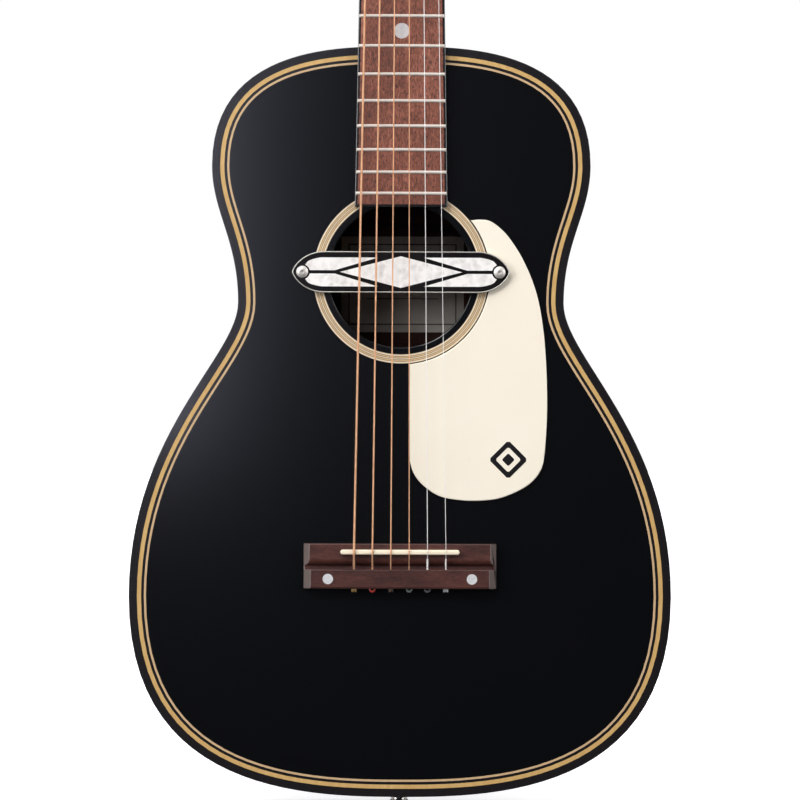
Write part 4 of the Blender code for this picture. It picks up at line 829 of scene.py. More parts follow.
def bone(name="bone"):
    """Bleached bone: faint long fibres and a waxy polish."""
    finish = Finish(name, Subsurface_Weight=0.08)
    finish.shader.inputs["Subsurface Radius"].default_value = (0.003, 0.002, 0.0012)
    fibre = finish.cloud(300, finish.spot((0.2, 3, 3)), 4, 0.6)
    finish.set(
        Base_Color=finish.blend(fibre, tone("f0dfc2"), tone("fff1dc")), Roughness=0.26 + fibre * 0.16)
    finish.relief(fibre, 0.00004, 0.3)
    return finish.material


old_bone = bone()
saddle = plate("bone_saddle", [slot_line(0.0361, 0.0015, SADDLE_Y)], LAND_HIGH - 0.0037, 0.0113)
ease(saddle, 0.0009, lambda p: p.z > 0.011, 4)
fit(saddle, old_bone, stands_for=["saddle"], slot="bone")

# ---------------------------------------------------------------- fingerboard
# Walnut with a slight camber, let in between black binding. Pressed nickel frets run over the
# binding, pearl dots mark the fifth, seventh, ninth and twelfth, and small ones mark its side.
BOARD_END, BOARD_HIGH, CAMBER, BOARD_EDGE, SCALE = 0.3580, 0.0065, 0.305, 0.0015, 0.610
NUT_WIDE, BODY_END_WIDE = 0.0429, 0.0530


def board_half(y):
    """Half the board's width at y, binding included."""
    return (NUT_WIDE + (BODY_END_WIDE - NUT_WIDE) / (NUT_Y - BODY_LENGTH) * (NUT_Y - y)) / 2


def camber(x):
    """Height of the board's face at x across it."""
    return BOARD_HIGH - x * x / (2 * CAMBER)


low, high = BOARD_END + BOARD_EDGE, NUT_Y - 0.0003
rings = []
for y in (low, *(low + (high - low) * k / 12 for k in range(1, 12)), high):
    half = board_half(y) - BOARD_EDGE - 0.0001
    face_row = [(half * (1 - k / 10), y, camber(half * (1 - k / 10))) for k in range(21)]
    rings.append([(half, y, 0.0003), *face_row, (-half, y, 0.0003)])
board = skin("walnut_board", rings)
red_walnut = walnut("board_walnut", "552e23", "824937", "a86a57", (1.9, 1.9, 0.55), 900, 0.5, 0.85)
fit(board, red_walnut, stands_for=["fingerboard"], slot="walnut")
wide, high_half, low_half = board_half(BOARD_END), board_half(high), board_half(low) - BOARD_EDGE
edge_line = [
    (-wide, BOARD_END), (wide, BOARD_END), (high_half, high), (high_half - BOARD_EDGE, high), (low_half, low),
    (-low_half, low), (-high_half + BOARD_EDGE, high), (-high_half, high),
]
board_edge = plate("board_edge", [edge_line], 0.0003, camber(wide) - 0.0001)


def outer_arris(p, reach=0.0004):
    """True for a point on the binding's upper outer corner."""
    return p.z > 0.004 and (abs(p.x) > board_half(p.y) - reach or p.y < BOARD_END + reach)


ease(board_edge, 0.0004, outer_arris, 2)
fit(board_edge, binding_black, stands_for=["fingerboard_binding"], slot="binding_black")
fret_wire = nickel("fret_wire", "dccdc3", 0.6, 0.3)
frets = [NUT_Y - SCALE * (1 - 2 ** (-number / 12)) for number in range(1, 19)]
for number, y in enumerate(frets, 1):
    half = board_half(y) - 0.0004
    line = [(half * (k / 8 - 1), y, camber(half * (k / 8 - 1)) - 0.0001) for k in range(17)]
    fret = tube(f"fret_{number}", line, 0.0010, 3)
    end_x, end_z = half - 0.0005, camber(half) + 0.0009
    sawn(fret, ((end_x, y, end_z), (0.9, 0, 0.5)), ((-end_x, y, end_z), (-0.9, 0, 0.5)))
    fit(fret, fret_wire, slot="nickel", smooth=50)
MARKED = (5, 7, 9, 12)
board_pearl = pearloid("board_pearl", "c0bcbc", "c8c4c4", 420)
disc = plate("face_dot", [ring(0.0047, (0, 0), 48)], 0.0055, BOARD_HIGH + 0.00003)
peg = turned("edge_dot", [(0, 0.0012), (0.0011, 0.0012), (0.0011, 0), (0, 0)], 20)
discs, pegs = (copies(model, [f"{kind}_dot_{number}" for number in MARKED])
               for model, kind in ((disc, "board"), (peg, "side")))
for number, face_dot, side_dot in zip(MARKED, discs, pegs):
    y = (frets[number - 1] + frets[number - 2]) / 2
    face_dot.data.transform(Matrix.Translation((0, y, 0)))
    fit(face_dot, board_pearl, slot="ivory_plastic")
    side_dot.data.transform(Matrix.Translation((-board_half(y) - 0.00003, y, 0.0033)) @ ACROSS)
    fit(side_dot, board_pearl, slot="ivory_plastic")

# ---------------------------------------------------------------- nut
# A small bone block across the end of the board, with a filed slot for each string and its
# back edge rounded down towards the headstock.
nut = block("bone_nut", (-NUT_WIDE / 2, NUT_Y, 0.0003), (NUT_WIDE / 2, NUT_Y + 0.0047, 0.0088))
ease(nut, 0.0011, lambda p: p.z > 0.008 and p.y > NUT_Y + 0.001, 4)
ease(nut, 0.0003, lambda p: p.z > 0.001 and p.y < NUT_Y + 0.001, 2)
for index, radius in enumerate(STRING_RADII):
    x, z = string_x(index, NUT_Y), string_z(index, NUT_Y)
    cut(nut, tube("file", [(x, NUT_Y - 0.01, z), (x, NUT_Y + 0.01, z)], radius + 0.0003, 4))
    room = radius + 0.0002
    cut(nut, block("file", (x - room, NUT_Y - 0.01, z), (x + room, NUT_Y + 0.01, 0.02)))
fit(nut, old_bone, stands_for=["nut"], slot="bone")

# ---------------------------------------------------------------- neck
# One length of mahogany under black satin lacquer: a rounded shaft, a headstock tilted back at
# thirteen degrees, and a heel carved down to a narrow cap where it meets the body.
HEAD_Y = NUT_Y + 0.005
HEAD_TILT = radians(13)
TO_HEAD = Matrix.Translation((0, HEAD_Y, 0)) @ Matrix.Rotation(-HEAD_TILT, 4, "X")
HEAD = STOOD @ TO_HEAD
HEAD_THICK, HEAD_ROOT, HEAD_WIDEST = 0.014, 0.02225, 0.0360
HEAD_EDGE = (
    (0.0, HEAD_ROOT), (0.006, HEAD_ROOT), (0.011, 0.0238), (0.016, 0.0276), (0.021, 0.0314),
    (0.026, 0.0330), (0.146, HEAD_WIDEST),
)


def glide(t):
    """Goes from 0 to 1 with no corner at either end."""
    t = min(1, max(0, t))
    return t * t * (3 - 2 * t)


def head_half(y):
    """Half the headstock's width at y along it."""
    for (y0, w0), (y1, w1) in zip(HEAD_EDGE, HEAD_EDGE[1:]):
        if y <= y1:
            return w0 + (w1 - w0) * (y - y0) / (y1 - y0)
    return HEAD_EDGE[-1][1]


def head_line(low=0.0):
    """The headstock's outline: straight cheeks, stepped shoulders and a low central peak."""
    cheeks = [(head_half(y), y) for y in (low, *(0.006 + k * 0.02 / 12 for k in range(13)), 0.146)]
    crown = [(HEAD_WIDEST - 0.007 * (1 - cos(a)), 0.146 + 0.011 * sin(a))
             for a in (k * pi / 24 for k in range(1, 13))]
    peak = [(0.029 - 0.006 * t, 0.157 + 0.0015 * t * t) for t in (0.25, 0.5, 0.75, 1)]
    sweep = drawn_through([
        (0.029, 0.157), (0.023, 0.1585), (0.0137, 0.165), (0.005, 0.1674), (0, 0.168), (-0.005, 0.1674)])
    right = cheeks + crown + peak + sweep[1:-1]
    whole = right + [(0, 0.168)] + [(-x, y) for x, y in reversed(right)]
    return [(x, max(low, y)) for x, y in whole]


def rounded_back(half, depth, corner, count=33):
    """Points of a section from its right edge, round the back, to its left edge."""
    points = []
    for k in range(count):
        a = pi * k / (count - 1)
        power = 2 / corner
        x = abs(cos(a)) ** power * half * (1 if a < pi / 2 else -1)
        points.append((x, -depth * abs(sin(a)) ** power))
    return points


SHAFT_START = BODY_LENGTH - 0.003
rings = []
for k in range(121):
    s = SHAFT_START + (HEAD_Y + 0.150 - SHAFT_START) * k / 120
    past = s - HEAD_Y
    turn = glide((past + 0.016) / 0.030) * HEAD_TILT
    along = min(1, max(0, (s - BODY_LENGTH) / (HEAD_Y - BODY_LENGTH)))
    morph = glide((past + 0.022) / 0.040)
    if s < NUT_Y:
        half = board_half(s)
    else:
        half = NUT_WIDE / 2 + (HEAD_ROOT - NUT_WIDE / 2) * glide(past / 0.004) if past < 0 else head_half(past)
    depth = (0.0175 + (0.0145 - 0.0175) * along) * (1 - morph) + HEAD_THICK * morph
    section = rounded_back(half, depth, 2.25 + 3.6 * morph)
    centre = Vector((0, s, 0)) if past < 0 else TO_HEAD @ Vector((0, past, 0))
    ring_here = [(half, centre.y, centre.z + 0.003)]
    for x, z in section:
        ring_here.append((x, centre.y + z * sin(turn), centre.z + z * cos(turn)))
    ring_here.append((-half, centre.y, centre.z + 0.003))
    rings.append(ring_here)
neck = skin("carved_neck", rings)

# The heel is built up from sections, each flat where it meets the body and round towards the neck.
HEEL_LOW, HEEL_HIGH, CAP_HALF, CAP_LONG = -0.0787, -0.003, 0.0125, 0.021
sections = []
for k in range(41):
    share = (k / 40) ** 0.85
    z = HEEL_LOW - 0.003 + (HEEL_HIGH - HEEL_LOW + 0.003) * share
    share = min(1, max(0, (z - HEEL_LOW) / (-0.004 - HEEL_LOW)))
    half = CAP_HALF + (0.0265 - CAP_HALF) * share ** 1.3
    long = CAP_LONG + (0.070 - CAP_LONG) * share ** 5
    arc = []
    for j in range(33):
        a = pi * j / 32
        arc.append((half * cos(a), BODY_LENGTH + long * sin(a) ** 0.85, z))
    sections.append([(half, SHAFT_START, z), *arc, (-half, SHAFT_START, z)])
heel = skin("heel_blank", sections)
crown = plate("head_blank", [head_line()], -HEAD_THICK, 0.003)
crown.data.transform(TO_HEAD)
sawn(crown, ((0, HEAD_Y + 0.020, 0), (0, -1, 0)))
bpy.ops.object.select_all(action="DESELECT")
for piece in (heel, crown, neck):
    piece.select_set(True)
bpy.context.view_layer.objects.active = neck
bpy.ops.object.join()
remesh = neck.modifiers.new("carve", "REMESH")
remesh.mode, remesh.voxel_size = "VOXEL", 0.0009
soften = neck.modifiers.new("sand", "SMOOTH")
soften.factor, soften.iterations = 0.5, 8
bpy.ops.object.modifier_apply(modifier=remesh.name)
bpy.ops.object.modifier_apply(modifier=soften.name)
sawn(neck, ((0, 0, -0.00005), (0, 0, 1)), ((0, HEAD_Y, -0.00005), (0, sin(HEAD_TILT), cos(HEAD_TILT))),
     ((0, BODY_LENGTH + 0.0003, 0), (0, -1, 0)), ((0, 0, HEEL_LOW), (0, 0, -1)))
close_up(neck, 1e-5)
neck_black = satin_black("neck_black")
fit(neck, neck_black, stands_for=["neck_shaft", "heel", "headstock"], slot="black_lacquer", smooth=45)
cap_line = [(CAP_HALF * cos(a), BODY_LENGTH + 0.0006 + CAP_LONG * sin(a) ** 0.85)
            for a in (pi * k / 40 for k in range(41))]
cap = plate("heel_plate", [cap_line], -0.082, -0.079)
ease(cap, 0.0007, lambda p: p.z < -0.0815 and p.y > BODY_LENGTH + 0.0008, 3)
fit(cap, binding_black, stands_for=["heel_cap"], slot="binding_black")
dress(nickel("rolled_steel", "8c8a86", 0.34), "truss_rod")

# ---------------------------------------------------------------- headstock face
# A thin black veneer over the headstock, with a plain pearl lozenge let in, and a bell-shaped
# ivory cover screwed over the end of the truss rod.
HEAD_FACE = 0.0018
veneer = plate("head_veneer", [head_line(low=0.0003)], 0.0003, HEAD_FACE)
ease(veneer, 0.0005, lambda p: p.z > HEAD_FACE - 0.0002, 3)
head_black = gloss_black("head_black", "0e0e11")
fit(veneer, head_black, stands_for=["headplate"], slot="black_lacquer", placed=HEAD)
for name, wide, high, y in (
    ("head_lozenge", 0.0060, 0.0110, 0.1385), ("head_lozenge_small", 0.0026, 0.0048, 0.1180),
):
    diamond = [(wide, y), (0, y + high), (-wide, y), (0, y - high)]
    gem = plate(name, [diamond], HEAD_FACE - 0.0003, HEAD_FACE + 0.00003)
    fit(gem, pearl, slot="ivory_plastic", placed=HEAD)
bell = drawn_through([
    (0.0087, 0.001), (0.0085, 0.007), (0.0081, 0.013), (0.0047, 0.023), (0.0030, 0.033), (0.0, 0.0360),
    (-0.003, 0.033)])
bell_line = bell[:-1] + [(0, 0.036)] + [(-x, y) for x, y in reversed(bell[:-1])]
cover = plate("rod_cover", [bell_line], HEAD_FACE + 0.0003, HEAD_FACE + 0.0019)
ease(cover, 0.0004, lambda p: p.z > HEAD_FACE + 0.0015, 3)
fit(cover, cream, stands_for=["truss_rod_cover"], slot="ivory_plastic", placed=HEAD)


def slotted_screw(name, radius, rise):
    """A small domed screw with a sawn slot, standing on its seat."""
    dome = [(radius * sin(a), rise * cos(a)) for a in (k * pi / 16 for k in range(8))]
    screw = turned(name, [*dome, (radius, 0), (radius, -0.0001), (radius * 0.4, -0.0003), (0, -0.0003)], 28)
    long, half_kerf = radius * 1.2, radius * 0.14
    return cut(screw, block("saw", (-long, -half_kerf, rise * 0.45), (long, half_kerf, rise * 2)))


for name, y, radius, turn in (
    ("rod_cover_screw_low", 0.0115, 0.0015, 0.4), ("rod_cover_screw_high", 0.0310, 0.0013, 1.3),
):
    screw = slotted_screw(name, radius, 0.0008)
    screw.data.transform(Matrix.Translation((0, y, HEAD_FACE + 0.0020)) @ Matrix.Rotation(turn, 4, "Z"))
    fit(screw, bright, slot="nickel", placed=HEAD)

# ---------------------------------------------------------------- tuners
# Open-geared tuners, three to a stamped nickel strip: a key turns a worm that drives a
# fourteen-tooth wheel on the string post. Screws hold the strips and each wheel on its post.
POST_X, POST_FIRST_Y, POST_SPACING = 0.0215, 0.042, 0.038
WORM_PITCH = pi * 0.0009
WORM_Z, WORM_OFFSET, PLATE_Z = -0.0192, 0.0095, -0.0143
TAB_X = 1.5 * WORM_PITCH + 0.003
# The posts run up the bass side and down the treble side: number, side and place on the headstock.
POSTS = [(number, hand, hand * POST_X, POST_FIRST_Y + row * POST_SPACING)
         for number, hand, row in ((1, -1, 0), (2, -1, 1), (3, -1, 2), (4, 1, 2), (5, 1, 1), (6, 1, 0))]

for name in ("tuner_plate_bass", "tuner_plate_treble"):
    bpy.ops.object.select_all(action="DESELECT")
    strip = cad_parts[name].copy()
    strip.data = strip.data.copy()
    strip.name = strip.data.name = name + "_strip"
    strip.parent = None
    bpy.context.scene.collection.objects.link(strip)
    for key in list(strip.keys()):
        del strip[key]
    strip.select_set(True)
    close_up(strip, 1e-5)
    bpy.ops.object.mode_set(mode="EDIT")
    bpy.ops.mesh.select_all(action="SELECT")
    bpy.ops.mesh.dissolve_limited(angle_limit=radians(2))
    bpy.ops.object.mode_set(mode="OBJECT")
    ease(strip, 0.0002, None, 2, 1.2)
    fit(strip, bright, stands_for=[name], slot="nickel", placed=None, smooth=30)

holes = [(f"strip_screw_{side}_{place + 1}", hand, place, y) for side, hand in (("bass", -1), ("treble", 1))
         for place, y in enumerate((0.0325, 0.0705, 0.1085, 0.1325))]
driven = copies(slotted_screw("strip_screw", 0.0017, 0.0007), [hole[0] for hole in holes])
for (name, hand, place, y), screw in zip(holes, driven):
    x = hand * (POST_X + (0.0052 if place < 3 else 0))
    screw.data.transform(Matrix.Translation((x, y, PLATE_Z - 0.0010)) @ Matrix.Rotation(pi, 4, "X")
                         @ Matrix.Rotation(0.5 * place + hand, 4, "Z"))
    fit(screw, bright, slot="nickel", placed=HEAD)


def worm_radius(turn):
    """The worm's radius at a share of a turn away from its crest."""
    away = abs(turn - floor(turn + 0.5))
    return 0.0022 + 0.0014 * min(1, max(0, 1.5 - away / 0.15))


def key_shaft(hand):
    """A key's shaft, lying across: a worm of three turns between two collars, and a stem."""
    def step(at, radius):
        """A round section at that distance from the post."""
        return [(hand * at, y, z) for y, z in ring(radius, (0, 0), 24)]

    rings = [step(-collar - 0.0012, 0.0), step(-collar - 0.0012, 0.0017), step(-collar - 0.0009, 0.0020),
             step(-half - 0.0002, 0.0020)]
    for k in range(73):
        at = hand * (-half + 3 * WORM_PITCH * k / 72)
        row = []
        for a in (2 * pi * side / 24 for side in range(24)):
            radius = worm_radius(at / WORM_PITCH - a / (2 * pi))
            row.append((at, radius * cos(a), radius * sin(a)))
        rings.append(row)
    rings += [step(*stop) for stop in (
        (half + 0.0002, 0.0020), (collar, 0.0020), (collar + 0.0001, 0.0030), (collar + 0.0011, 0.0030),
        (collar + 0.0016, 0.0020), (stem - 0.0016, 0.0020), (stem - 0.0012, 0.0026), (stem + 0.0004, 0.0026),
        (stem + 0.0012, 0.0020), (stem + 0.0040, 0.0020), (stem + 0.0040, 0.0))]
    return skin("key_shaft", rings)


def key_grip(hand):
    """A key's ivory button: a flat oval, a little fuller at its outer end."""
    rings = []
    for u in (0.5 - 0.5 * cos(pi * k / 24) for k in range(25)):
        tall = GRIP_TALL * max(0.0, 1 - abs(2 * u - 1) ** 2.6) ** 0.42 * (0.90 + 0.10 * u)
        thick = GRIP_THICK * max(0.0, 1 - abs(2 * u - 1) ** 3.2) ** 0.5 * (1.0 - 0.12 * u)
        rings.append([(hand * (stem + 0.0007 + GRIP_LONG * u), tall * cos(a),
                       thick * abs(sin(a)) ** 0.8 * (1 if sin(a) > 0 else -1))
                      for a in (2 * pi * side / 32 for side in range(32))])
    return skin("key_button", rings)


half, collar, stem = 1.5 * WORM_PITCH, TAB_X + 0.0009, 0.0385 - POST_X
GRIP_LONG, GRIP_TALL, GRIP_THICK = 0.0151, 0.0095, 0.0040
for side in (-1, 1):
    three = [post for post in POSTS if post[1] == side]
    shafts = copies(key_shaft(side), [f"key_shaft_{post[0]}" for post in three])
    grips = copies(key_grip(side), [f"key_button_{post[0]}" for post in three])
    for (number, hand, x, y), shaft, grip in zip(three, shafts, grips):
        place = HEAD @ Matrix.Translation((x, y + WORM_OFFSET, WORM_Z))
        fit(shaft, bright, f"key_{number}", stands_for=[f"tuner_key_{number}"], slot="nickel", placed=place)
        fit(grip, cream, f"key_{number}", slot="ivory_plastic", placed=place, smooth=60)

# A post is turned, drilled for the string and slotted below, and pressed into its toothed wheel.
POST_TOP = HEAD_FACE + 0.0165
WAIST = POST_TOP - 0.0085
POST_LINE = (
    (0, POST_TOP), (0.0016, POST_TOP), (0.0024, POST_TOP - 0.0002), (0.0029, POST_TOP - 0.0006),
    (0.0030, POST_TOP - 0.0009), (0.0030, WAIST + 0.0050), (0.0028, WAIST + 0.0044), (0.0026, WAIST + 0.0038),
    (0.0026, WAIST - 0.0008), (0.0028, WAIST - 0.0014), (0.0030, WAIST - 0.0020), (0.0030, WORM_Z + 0.0020),
    (0.0042, WORM_Z + 0.0019), (0.0042, WORM_Z - 0.0024), (0.0040, WORM_Z - 0.0030), (0.0030, WORM_Z - 0.0036),
    (0.0012, WORM_Z - 0.0038), (0, WORM_Z - 0.0038),
)
TEETH, ROOT, FLANK, TIP, WHEEL_HALF = 14, 0.0055, 0.00625, 0.0070, 0.0020
spindle = turned("spindle", POST_LINE)
eye_z = POST_TOP - 0.0032
cut(spindle, tube("drill", [(-0.006, 0, eye_z), (0.006, 0, eye_z)], 0.0008))
cut(spindle, block("saw", (-0.005, -0.0005, WORM_Z - 0.006), (0.005, 0.0005, WORM_Z - 0.0031)))
teeth = []
for tooth in range(TEETH):
    for away, radius in ((-0.24, ROOT), (-0.17, FLANK), (-0.11, TIP), (0.11, TIP), (0.17, FLANK), (0.24, ROOT)):
        a = pi / 2 + tooth * 2 * pi / TEETH + away * WORM_PITCH / radius
        teeth.append((radius * cos(a), radius * sin(a)))
wheel = plate("wheel", [teeth], WORM_Z - WHEEL_HALF, WORM_Z + WHEEL_HALF)
ease(wheel, 0.00012, lambda p: abs(abs(p.z - WORM_Z) - WHEEL_HALF) < 0.0001, 1)
cut(spindle, wheel, "UNION")
bushing = turned("bushing", [
    (0.00335, HEAD_FACE - 0.001), (0.00335, HEAD_FACE + 0.0019), (0.0040, HEAD_FACE + 0.0019),
    (0.0047, HEAD_FACE + 0.0013), (0.0052, HEAD_FACE + 0.0004), (0.0052, HEAD_FACE),
    (0.0045, HEAD_FACE - 0.001), (0.00335, HEAD_FACE - 0.001)])
spindles = copies(spindle, [f"string_post_{post[0]}" for post in POSTS])
bushings = copies(bushing, [f"post_bushing_{post[0]}" for post in POSTS])
for (number, hand, x, y), spindle, bushing in zip(POSTS, spindles, bushings):
    place = HEAD @ Matrix.Translation((x, y, 0))
    fit(spindle, bright, f"post_{number}", stands_for=[f"tuner_post_{number}"], slot="nickel", placed=place)
    fit(bushing, bright, slot="nickel", placed=place)

# ---------------------------------------------------------------- strings
# Four bronze-wound and two plain steel strings. Each starts at an enamelled ball end behind the
# bridge, runs through the anchor block, over saddle and nut, and is wound on its post.
BALL_TONES = ("f2c872", "dc4a44", "4a4242", "7d8a86", "6b6c72", "ececee")
BALL_RADIUS, BALL_UP, EYE_RADIUS, THINNEST_CORE = 0.0020, 0.0034, 0.00165, 0.00026


def string_wire(name, dark, light, wraps, metal):
    """Bright string wire. Wraps is how many turns of winding there are in a metre, or none."""
    finish = Finish(name, Metallic=metal, Specular_Ior_Level=0.8)
    cloud = finish.cloud(300, detail=3)
    finish.set(Base_Color=finish.blend(cloud, tone(dark), tone(light)), Roughness=0.38 + cloud * 0.14)
    if wraps:
        wrap = finish.add("ShaderNodeMath", {"operation": "SINE"}, {0: finish.axis("Z") * (2 * pi * wraps)})
        finish.relief(wrap, 0.00012, 0.5)
    else:
        finish.relief(cloud, 0.00002, 0.2)
    return finish.material


def enamel(name, colour):
    """Coloured enamel on a ball end, chipped at its rims to show the brass."""
    finish = Finish(name, Coat_Weight=0.3, Coat_Roughness=0.25)
    chips = finish.cloud(900, detail=3)
    paint = finish.blend((chips > 0.66) * 0.7, tone(colour), tone("a98a4e"))
    finish.set(Base_Color=paint, Roughness=0.28 + chips * 0.15)
    return finish.material


def softened(points, reach):
    """The same line with its corners rounded off over that reach."""
    line = [points[0]]
    for before, here, after in zip(points, points[1:], points[2:]):
        into, out = before - here, after - here
        first = here + into * min(0.45, reach / into.length)
        last = here + out * min(0.45, reach / out.length)
        for k in range(7):
            t = k / 6
            line.append((1 - t) ** 2 * first + 2 * (1 - t) * t * here + t * t * last)
    return line + [points[-1]]


def coil(start, end, reach, pitch, steps=12):
    """Points of a helix wound round the line from start to end."""
    along = end - start
    side = along.cross(Vector((0, 0, 1))).normalized()
    over = side.cross(along).normalized()
    count = int(along.length / pitch * steps)
    return [start + along * (k / count) + reach * (side * cos(a) + over * sin(a))
            for k, a in ((k, 2 * pi * k / steps) for k in range(count + 1))]


bronze = string_wire("bronze_wire", "e8a77c", "ffcfa8", 2100, 0.75)
plain = string_wire("plain_steel", "f2eeec", "fdfbfa", 0, 0.2)
BLOCK_FACE = 0.1381
RIM_LINE = (
    (0.0008, -0.0016), (0.0015, -0.0016), (BALL_RADIUS, -0.0013), (0.0016, -0.0007), (0.0014, 0),
    (0.0016, 0.0007), (BALL_RADIUS, 0.0013), (0.0015, 0.0016), (0.0008, 0.0016), (0.0008, -0.0016),
)
LYING_ACROSS, WOUND = (1, 3, 6), 4
balls = copies(turned("ball", RIM_LINE, 28), [f"ball_end_{post[0]}" for post in POSTS])
for (number, hand, x, y), radius, ball_tone, ball in zip(POSTS, STRING_RADII, BALL_TONES, balls):
    wire_finish, wire_slot = (bronze, "bronze_wire") if number <= WOUND else (plain, "steel_wire")
    low_x = string_x(number - 1, SADDLE_Y)
    line = [Vector((low_x, TAIL + 0.0012, BALL_UP)), Vector((low_x, TAIL + 0.0030, 0.0040)),
            Vector((low_x, BLOCK_FACE, 0.0062))]
    for at in (SADDLE_Y, NUT_Y + 0.0004, NUT_Y + 0.0035):
        line.append(Vector((string_x(number - 1, at), at, string_z(number - 1, at))))
    reach, pitch = 0.0033 + radius, 2 * radius + 0.00015
    turns = []
    for k in range(41):
        a = 2 * pi * k / 16
        turn = a if hand < 0 else pi - a
        height = 0.0068 + radius + pitch * k / 16
        turns.append(TO_HEAD @ Vector((x + reach * cos(turn), y + reach * sin(turn), height)))
    away = (turns[-1] - turns[-2]).normalized()
    turns.append(turns[-1] + away * 0.0012 + Vector((0, 0, 0.0004)))
    wire = tube(f"string_wire_{number}", softened([*line, turns[0]], 0.0018) + turns[1:], radius, 3)
    fit(wire, wire_finish, stands_for=[f"string_{number}"], slot=wire_slot, smooth=60)
    centre = Vector((low_x, TAIL - 0.0003, BALL_UP))
    across = number in LYING_ACROSS
    ball.data.transform(Matrix.Translation(centre) @ (ACROSS if across else Matrix.Identity(4)))
    fit(ball, enamel(f"enamel_{number}", ball_tone), slot="nickel")
    eye = []
    for k in range(25):
        a, drift = pi / 2 + 2 * pi * k / 24, 0.0004 * (k / 12 - 1)
        up, along = EYE_RADIUS * sin(a), EYE_RADIUS * cos(a)
        eye.append(centre + Vector((drift, along, up) if across else (up, along, drift)))
    loop = tube(f"ball_loop_{number}", eye, min(radius, THINNEST_CORE), 3)
    fit(loop, wire_finish, slot=wire_slot, smooth=60)
    if number > WOUND:
        start, end = line[2], line[2] + (line[3] - line[2]) * 0.62
        twist = coil(start, end, radius * 1.9, radius * 2.1)
        fit(tube(f"string_twist_{number}", twist, radius * 0.95, 2), plain, slot=wire_slot, smooth=60)

# ---------------------------------------------------------------- end pin
# A nickel strap button at the tail that is also the pickup's jack: turned from bar, with a
# flange against the body, a waist for the strap and a socket in its end.
pin_outline = [
    (0, -0.018), (0.0032, -0.018), (0.0032, 0.0102), (0.0036, 0.0105), (0.0066, 0.0105), (0.0074, 0.0102),
    (0.0078, 0.0095), (0.0078, 0.0083), (0.0074, 0.0074), (0.0062, 0.0066), (0.0052, 0.0058),
    (0.0050, 0.0048), (0.0050, 0.0030), (0.0054, 0.0020), (0.0066, 0.0015), (0.0077, 0.0012),
    (0.0078, 0.0006), (0.0078, 0.0003), (0.0050, 0.0003), (0.0050, -0.022), (0, -0.022),
]
pin = turned("end_pin_button", pin_outline, 48)
pin.data.transform(Matrix.Translation((0, 0, -0.0475)) @ Matrix.Rotation(pi / 2, 4, "X"))
fit(pin, bright, stands_for=["end_pin_jack"], slot="nickel")

# ---------------------------------------------------------------- floor
# A broad pale studio floor, rolled with matt paint. It isn't part of the guitar. It glows by emission, a painted
# light that is dimmer near the guitar, so that real shadows still show there, and brighter further out, so that
# it runs into the background.
bpy.ops.object.select_all(action="DESELECT")
bpy.ops.mesh.primitive_plane_add(size=1)
ground = bpy.context.object
ground.name = "studio_floor"
bpy.ops.object.mode_set(mode="EDIT")
bpy.ops.transform.resize(value=(24, 24, 1))
bpy.ops.object.mode_set(mode="OBJECT")
paint = Finish("studio_floor", Roughness=0.8, Specular_Ior_Level=0.1, Emission_Strength=1.0)
mottle = paint.cloud(1.5, detail=2)
out = (paint.axis("X") ** 2.0 + paint.axis("Y") ** 2.0) ** 0.5
glow = (out * 0.9 - 0.2).clipped()
# Painted light: the floor's emission rises from 0.55 grey near the guitar to full white further out. It is
# hidden from the guitar's diffuse and glossy rays.
paint.set(Base_Color=paint.blend(mottle, tone("f2f2f2"), tone("f8f8f8")),
          Emission_Color=paint.blend(glow, (0.55, 0.55, 0.55), (1, 1, 1)))
ground.visible_diffuse = ground.visible_glossy = False
ground.data.materials.append(paint.material)

# ---------------------------------------------------------------- light and camera
# A long softbox on the left, a weaker one on the right, a little light from above, and a level
# camera square on to the soundboard.


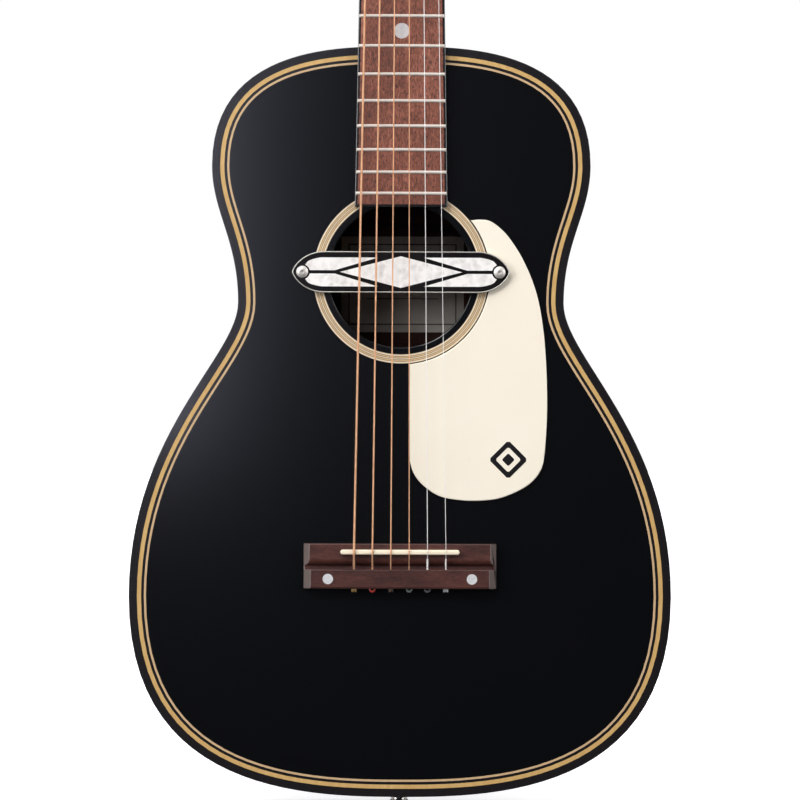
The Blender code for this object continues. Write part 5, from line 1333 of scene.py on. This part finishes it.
def softbox(name, place, aim, size, power):
    """A rectangular lamp at a place, turned towards its aim and not seen itself."""
    bpy.ops.object.light_add(type="AREA", location=place)
    lamp = bpy.context.object
    lamp.name = name
    lamp.data.shape, lamp.data.size, lamp.data.size_y, lamp.data.energy = "RECTANGLE", *size, power
    lamp.rotation_euler = (Vector(aim) - Vector(place)).to_track_quat("-Z", "Y").to_euler()
    lamp.visible_camera = False
    return lamp


softbox("left_softbox", (-2.1, -1.5, 1.0), (0, 0, 0.35), (1.1, 2.0), 56)
softbox("right_softbox", (2.1, -1.4, 0.9), (0, 0, 0.35), (0.9, 1.8), 34)
softbox("top_softbox", (0.0, -0.7, 2.6), (0, 0, 0.3), (1.8, 1.4), 18)
softbox("high_softbox", (-0.9, -2.0, 1.9), (0, 0, 0.3), (0.8, 0.8), 30)
softbox("glow_strip", (-0.36, -3.3, 0.86), (0, 0, 0.25), (0.15, 1.35), 2.7).data.color = (0.95, 0.98, 1.2)
world = bpy.data.worlds.new("studio")
bpy.context.scene.world = world
world.use_nodes = True
backdrop = world.node_tree.nodes["Background"]
nodes, links = world.node_tree.nodes, world.node_tree.links
ray, heading, split = (nodes.new("ShaderNode" + kind) for kind in ("LightPath", "TexCoord", "SeparateXYZ"))
fade, room, seen = (nodes.new("ShaderNode" + kind) for kind in ("MapRange", "Mix", "Mix"))
room.data_type = seen.data_type = "RGBA"
fade.interpolation_type = "SMOOTHSTEP"
fade.inputs["From Min"].default_value, fade.inputs["From Max"].default_value = -0.55, 0.15
room.inputs[6].default_value, room.inputs[7].default_value = (0.012, 0.013, 0.017, 1), (0.60, 0.60, 0.62, 1)
seen.inputs[7].default_value = (1, 1, 1, 1)
links.new(heading.outputs["Generated"], split.inputs[0])
links.new(split.outputs["Y"], fade.inputs["Value"])
links.new(fade.outputs["Result"], room.inputs[0])
links.new(room.outputs[2], seen.inputs[6])
links.new(ray.outputs["Is Camera Ray"], seen.inputs[0])
links.new(seen.outputs[2], backdrop.inputs["Color"])

AWAY, VIEW_WIDE, SENSOR = 2.5, 0.4856, 36
bpy.ops.object.camera_add(
    location=(-0.0003, face_y - AWAY, tail_z + 0.2410), rotation=(pi / 2, radians(-0.2), 0))
camera = bpy.context.object
camera.data.lens, camera.data.sensor_width = SENSOR * AWAY / VIEW_WIDE, SENSOR
bpy.context.scene.camera = camera
bpy.context.scene.view_settings.view_transform = "Standard"
